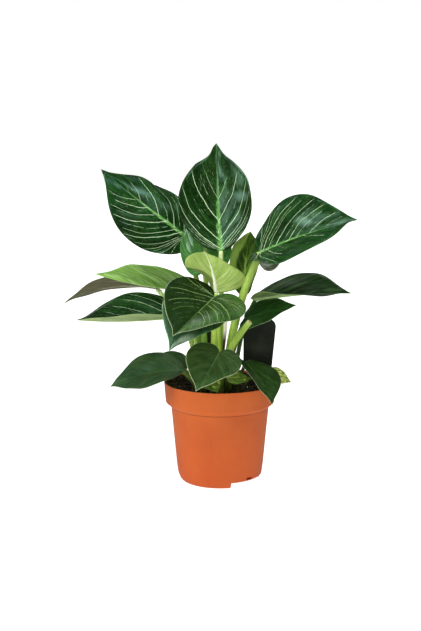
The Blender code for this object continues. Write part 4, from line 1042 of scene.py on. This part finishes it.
peat = soilFinish()
bark = simpleFinish("composted bark", "#2B1A0E", "#5A3F25", 600.0, 0.85, 0.0006)
perlite = simpleFinish("perlite", "#D8D4C8", "#F0EEE6", 900.0, 0.8, 0.0003)
dryFibre = simpleFinish("dry peat fibre", "#6A5030", "#9A7C50", 500.0, 0.8, 0.0001)
addSoil(peat)
addLumps("peat_crumbs", soil["crumbs"], (0.5, 2.2), 11, peat)
addLumps("bark_bits", soil["bark"], (1.0, 2.8), 12, bark)
addLumps("perlite_grains", soil["grains"], (0.7, 1.4), 13, perlite)
addFibres("peat_fibres", soil["fibres"], (5.0, 16.0), 0.18, 14, dryFibre)
print("soil is filled in")


# gaps, drains and slots in the foot, the lower wall and the base: directions each lies between, its heights
# and the radii its cutter reaches between
pot = dict(height=107.0, rim=60.0, bandBottom=85.5, shoulder=5.0, bodyTop=52.3, bodyFoot=46.4, footBend=15.0,
           foot=41.6, wall=1.4, underside=7.0, pad=20.0, sides=180, cornerSteps=5, smoothUpTo=40.0,
           gaps=((-75, -2), (45, 76), (165, 196)), gapHeights=(-1.0, 6.4), gapReach=(33.6, 53.0),
           drains=((-52, -42), (62.5, 70.5), (182.5, 190.5)), drainReach=(38.2, 50.0),
           drainHeights=((7.2, 9.8), (5.4, 10.0), (5.4, 10.0)),
           slots=((-2, 3), (118, 123), (238, 243)), slotHeights=(5.0, 10.0), slotReach=(24.5, 36.5))


def roundCorner(before, corner, after, radius):
    # quadratic curve that cuts a profile's corner at distance radius on both sides
    before, corner, after = (np.array(p, float) for p in (before, corner, after))
    start = corner + (before - corner) / np.linalg.norm(before - corner) * radius
    end = corner + (after - corner) / np.linalg.norm(after - corner) * radius
    t = np.linspace(0.0, 1.0, pot["cornerSteps"])[:, None]
    return (1 - t) ** 2 * start + 2 * (1 - t) * t * corner + t ** 2 * end


def potProfile():
    # (radius, height, rounding) of each corner, down the outside, under the base and up the inside
    rim, band, body, foot, wall = pot["rim"], pot["bandBottom"], pot["bodyTop"], pot["foot"], pot["wall"]
    low, base, pad, bend = band - pot["shoulder"], pot["underside"], pot["pad"], pot["footBend"]
    corners = [
        (rim - wall, pot["height"], 0.5), (rim, pot["height"], 0.55), (rim - 1.6, band, 0.9),
        (body + 0.2, low, 1.4), (pot["bodyFoot"], bend, 7.0), (foot + 3.2, 4.2, 3.0), (foot, 0.0, 0.5),
        (foot - 2.2, 0.0, 0.4), (foot - 2.8, base, 0.6), (pad + 2.5, base, 0.6), (pad, 0.0, 0.5),
        (0.0, 0.0, 0.0), (0.0, wall, 0.0), (pad - 1.0, wall, 0.4), (pad + 1.5, base + wall, 0.6),
        (foot - wall, base + wall, 1.0), (pot["bodyFoot"] - wall, bend + 1.0, 5.0),
        (body - wall, low + 0.6, 1.0), (rim - 3.0, band + 0.8, 1.0),
    ]
    points = []
    for i, (radius, height, rounding) in enumerate(corners):
        if rounding:
            before, after = corners[i - 1][:2], corners[(i + 1) % len(corners)][:2]
            points.extend(roundCorner(before, (radius, height), after, rounding))
        else:
            points.append(np.array([radius, height]))
    return np.array(points)


def potFinish():
    # injection-moulded polypropylene: satin, IOR 1.49, even orange that is redder low down, with a little
    # dust and faint flow marks round the wall
    finish, add = newFinish("terracotta polypropylene")
    coords = add("TexCoord").outputs["Object"]
    height = add("SeparateXYZ", coords).outputs[2]
    colour = layer(add, "#B65117", "#BF5A1C", add("TexNoise", coords, None, 22.0, 3.0), 0.35, 0.65)
    colour = layer(add, add("MixRGB", 0.55, colour, "#BF4A0E"), colour, height, 0.0, 0.085)
    flow = add("TexNoise", add("Mapping", coords, None, None, (25.0, 25.0, 240.0)), None, 1.0)
    colour = layer(add, colour, "#C96F3C", flow, 0.45, 0.7, 0.0, 0.05)
    dust = add("TexNoise", coords, None, 130.0, 6.0, 0.7)
    colour = layer(add, colour, "#D9A183", dust, 0.58, 0.85, 0.0, 0.12)
    # painted shade and dirt: a thin dark line in the crease under the band
    offCrease = add("Math ABSOLUTE", add("Math ADD", height, (pot["shoulder"] - pot["bandBottom"]) * mm))
    colour = layer(add, colour, "#6E2A0C", offCrease, 0.0002, 0.0009, 0.6, 0.0)
    grain = add("TexNoise", coords, None, 1400.0)
    add("OutputMaterial", add("BsdfPrincipled", colour, sockets={
        "Roughness": add("MapRange", dust, 0.3, 0.8, 0.42, 0.58), "IOR": 1.49,
        "Normal": add("Bump", 0.12, 0.0002, None, grain), "Specular IOR Level": 0.35,
        "Sheen Weight": 0.10, "Sheen Roughness": 0.45, "Sheen Tint": "#FFE6D8"}))
    return finish


def wedge(name, start, end, low, high, inner, outer):
    # a closed block between two directions, two heights and two radii
    turn = np.radians(np.linspace(start, end, 9))
    edges = [polar(r, turn, z) for r, z in ((outer, low), (outer, high), (inner, high), (inner, low))]
    faces = gridFaces(len(turn), len(edges), wrap=True).tolist() + [[0, 1, 2, 3], [35, 34, 33, 32]]
    block = addPiece(name, np.stack(edges, 1).reshape(-1, 3), faces, [], merge=False)
    reshape(block.data, lambda shape: bmesh.ops.recalc_face_normals(shape, faces=shape.faces))
    return block


def addPot():
    # the profile turned about the axis, then gaps, drain holes and slots cut with Boolean modifiers
    profile = potProfile()
    points = polar(profile[:, :1], fullTurn(pot["sides"]), profile[:, 1:])
    closed = np.concatenate([points, points[:1]]).reshape(-1, 3)
    faces = gridFaces(len(profile) + 1, pot["sides"], wrap=True, flip=True)
    shell = addPiece("pot_shell", closed, faces, [potFinish()])
    cutters = []
    for i in range(3):
        cutters += [wedge(f"gap_{i}", *pot["gaps"][i], *pot["gapHeights"], *pot["gapReach"]),
                    wedge(f"drain_{i}", *pot["drains"][i], *pot["drainHeights"][i], *pot["drainReach"]),
                    wedge(f"slot_{i}", *pot["slots"][i], *pot["slotHeights"], *pot["slotReach"])]
    for cutter in cutters:
        cut = shell.modifiers.new(cutter.name, "BOOLEAN")
        cut.operation, cut.solver, cut.object = "DIFFERENCE", "EXACT", cutter
    graph = bpy.context.evaluated_depsgraph_get()
    finished = bpy.data.meshes.new_from_object(shell.evaluated_get(graph))
    shell.modifiers.clear()
    shell.data = finished
    finished.shade_smooth()
    finished.set_sharp_from_angle(angle=math.radians(pot["smoothUpTo"]))
    for cutter in cutters:
        bpy.data.objects.remove(cutter)
    hold(shell, "pot")


addPot()
print("pot is turned")


label = dict(x=35.2, y=16.0, width=35.0, top=172.5, corner=9.0, headBottom=111.0, headSlope=8.0,
             headTaper=2.0, stakeWidth=9.0, stakeBottom=62.0, stakePoint=8.0, thickness=0.9, edge=0.15,
             lean=2.7)


def labelFinish():
    # black polystyrene, matte, with a little dust, splashes of peat and fine rubs
    finish, add = newFinish("black label plastic")
    coords = add("TexCoord").outputs["Object"]
    colour = layer(add, "#12160F", "#232A1C", add("TexNoise", coords, None, 60.0, 4.0), 0.45, 0.75)
    specks = add("TexNoise", coords, None, 300.0, 3.0, 0.7)
    colour = layer(add, colour, "#4A3C24", specks, 0.62, 0.72, 0.0, 0.6)
    rubs = add("TexNoise", add("Mapping", coords, None, None, (900.0, 900.0, 70.0)), None, 1.0)
    rough = add("MapRange", rubs, 0.3, 0.7, 0.38, 0.6)
    add("OutputMaterial", add("BsdfPrincipled", colour, sockets={"Roughness": rough, "IOR": 1.55}))
    return finish


def addLabel():
    # flat outline with arcs at the top corners, thickened and then leaned about its foot
    half, stake, corner = label["width"] / 2, label["stakeWidth"] / 2, label["corner"]
    bend = np.radians(np.linspace(0.0, 90.0, 13))
    middle = np.array([half - corner, label["top"] - corner])
    right = middle + corner * np.stack([np.cos(bend), np.sin(bend)], -1)
    left = right[::-1] * [-1.0, 1.0]
    low = [(label["headTaper"] - half, label["headBottom"] + label["headSlope"]),
           (-stake, label["headBottom"]), (-stake, label["stakeBottom"] + label["stakePoint"]),
           (0.0, label["stakeBottom"])]
    outline = np.concatenate([right, left, low + [(-x, z) for x, z in low[2::-1]]])
    cos, sin = math.cos(math.radians(label["lean"])), math.sin(math.radians(label["lean"]))
    x = outline[:, 0] * cos + outline[:, 1] * sin + label["x"]
    z = outline[:, 1] * cos - outline[:, 0] * sin
    thick = label["thickness"] / 2
    points = np.concatenate([np.stack([x, label["y"] + d + 0 * x, z], -1) for d in (-thick, thick)])
    i, count = np.arange(len(outline)), len(outline)
    faces = np.stack([i, (i + 1) % count, (i + 1) % count + count, i + count], -1)[:, ::-1].tolist()
    faces += [i.tolist(), (i + count)[::-1].tolist()]
    plate = addPiece("label_plate", points, faces, [labelFinish()], "label_plastic", "plant_label",
                     merge=False)
    plate.data.shade_flat()
    edge = plate.modifiers.new("Edge", "BEVEL")
    edge.width, edge.segments, edge.limit_method = label["edge"] * mm, 2, "ANGLE"


addLabel()
print("label is in")
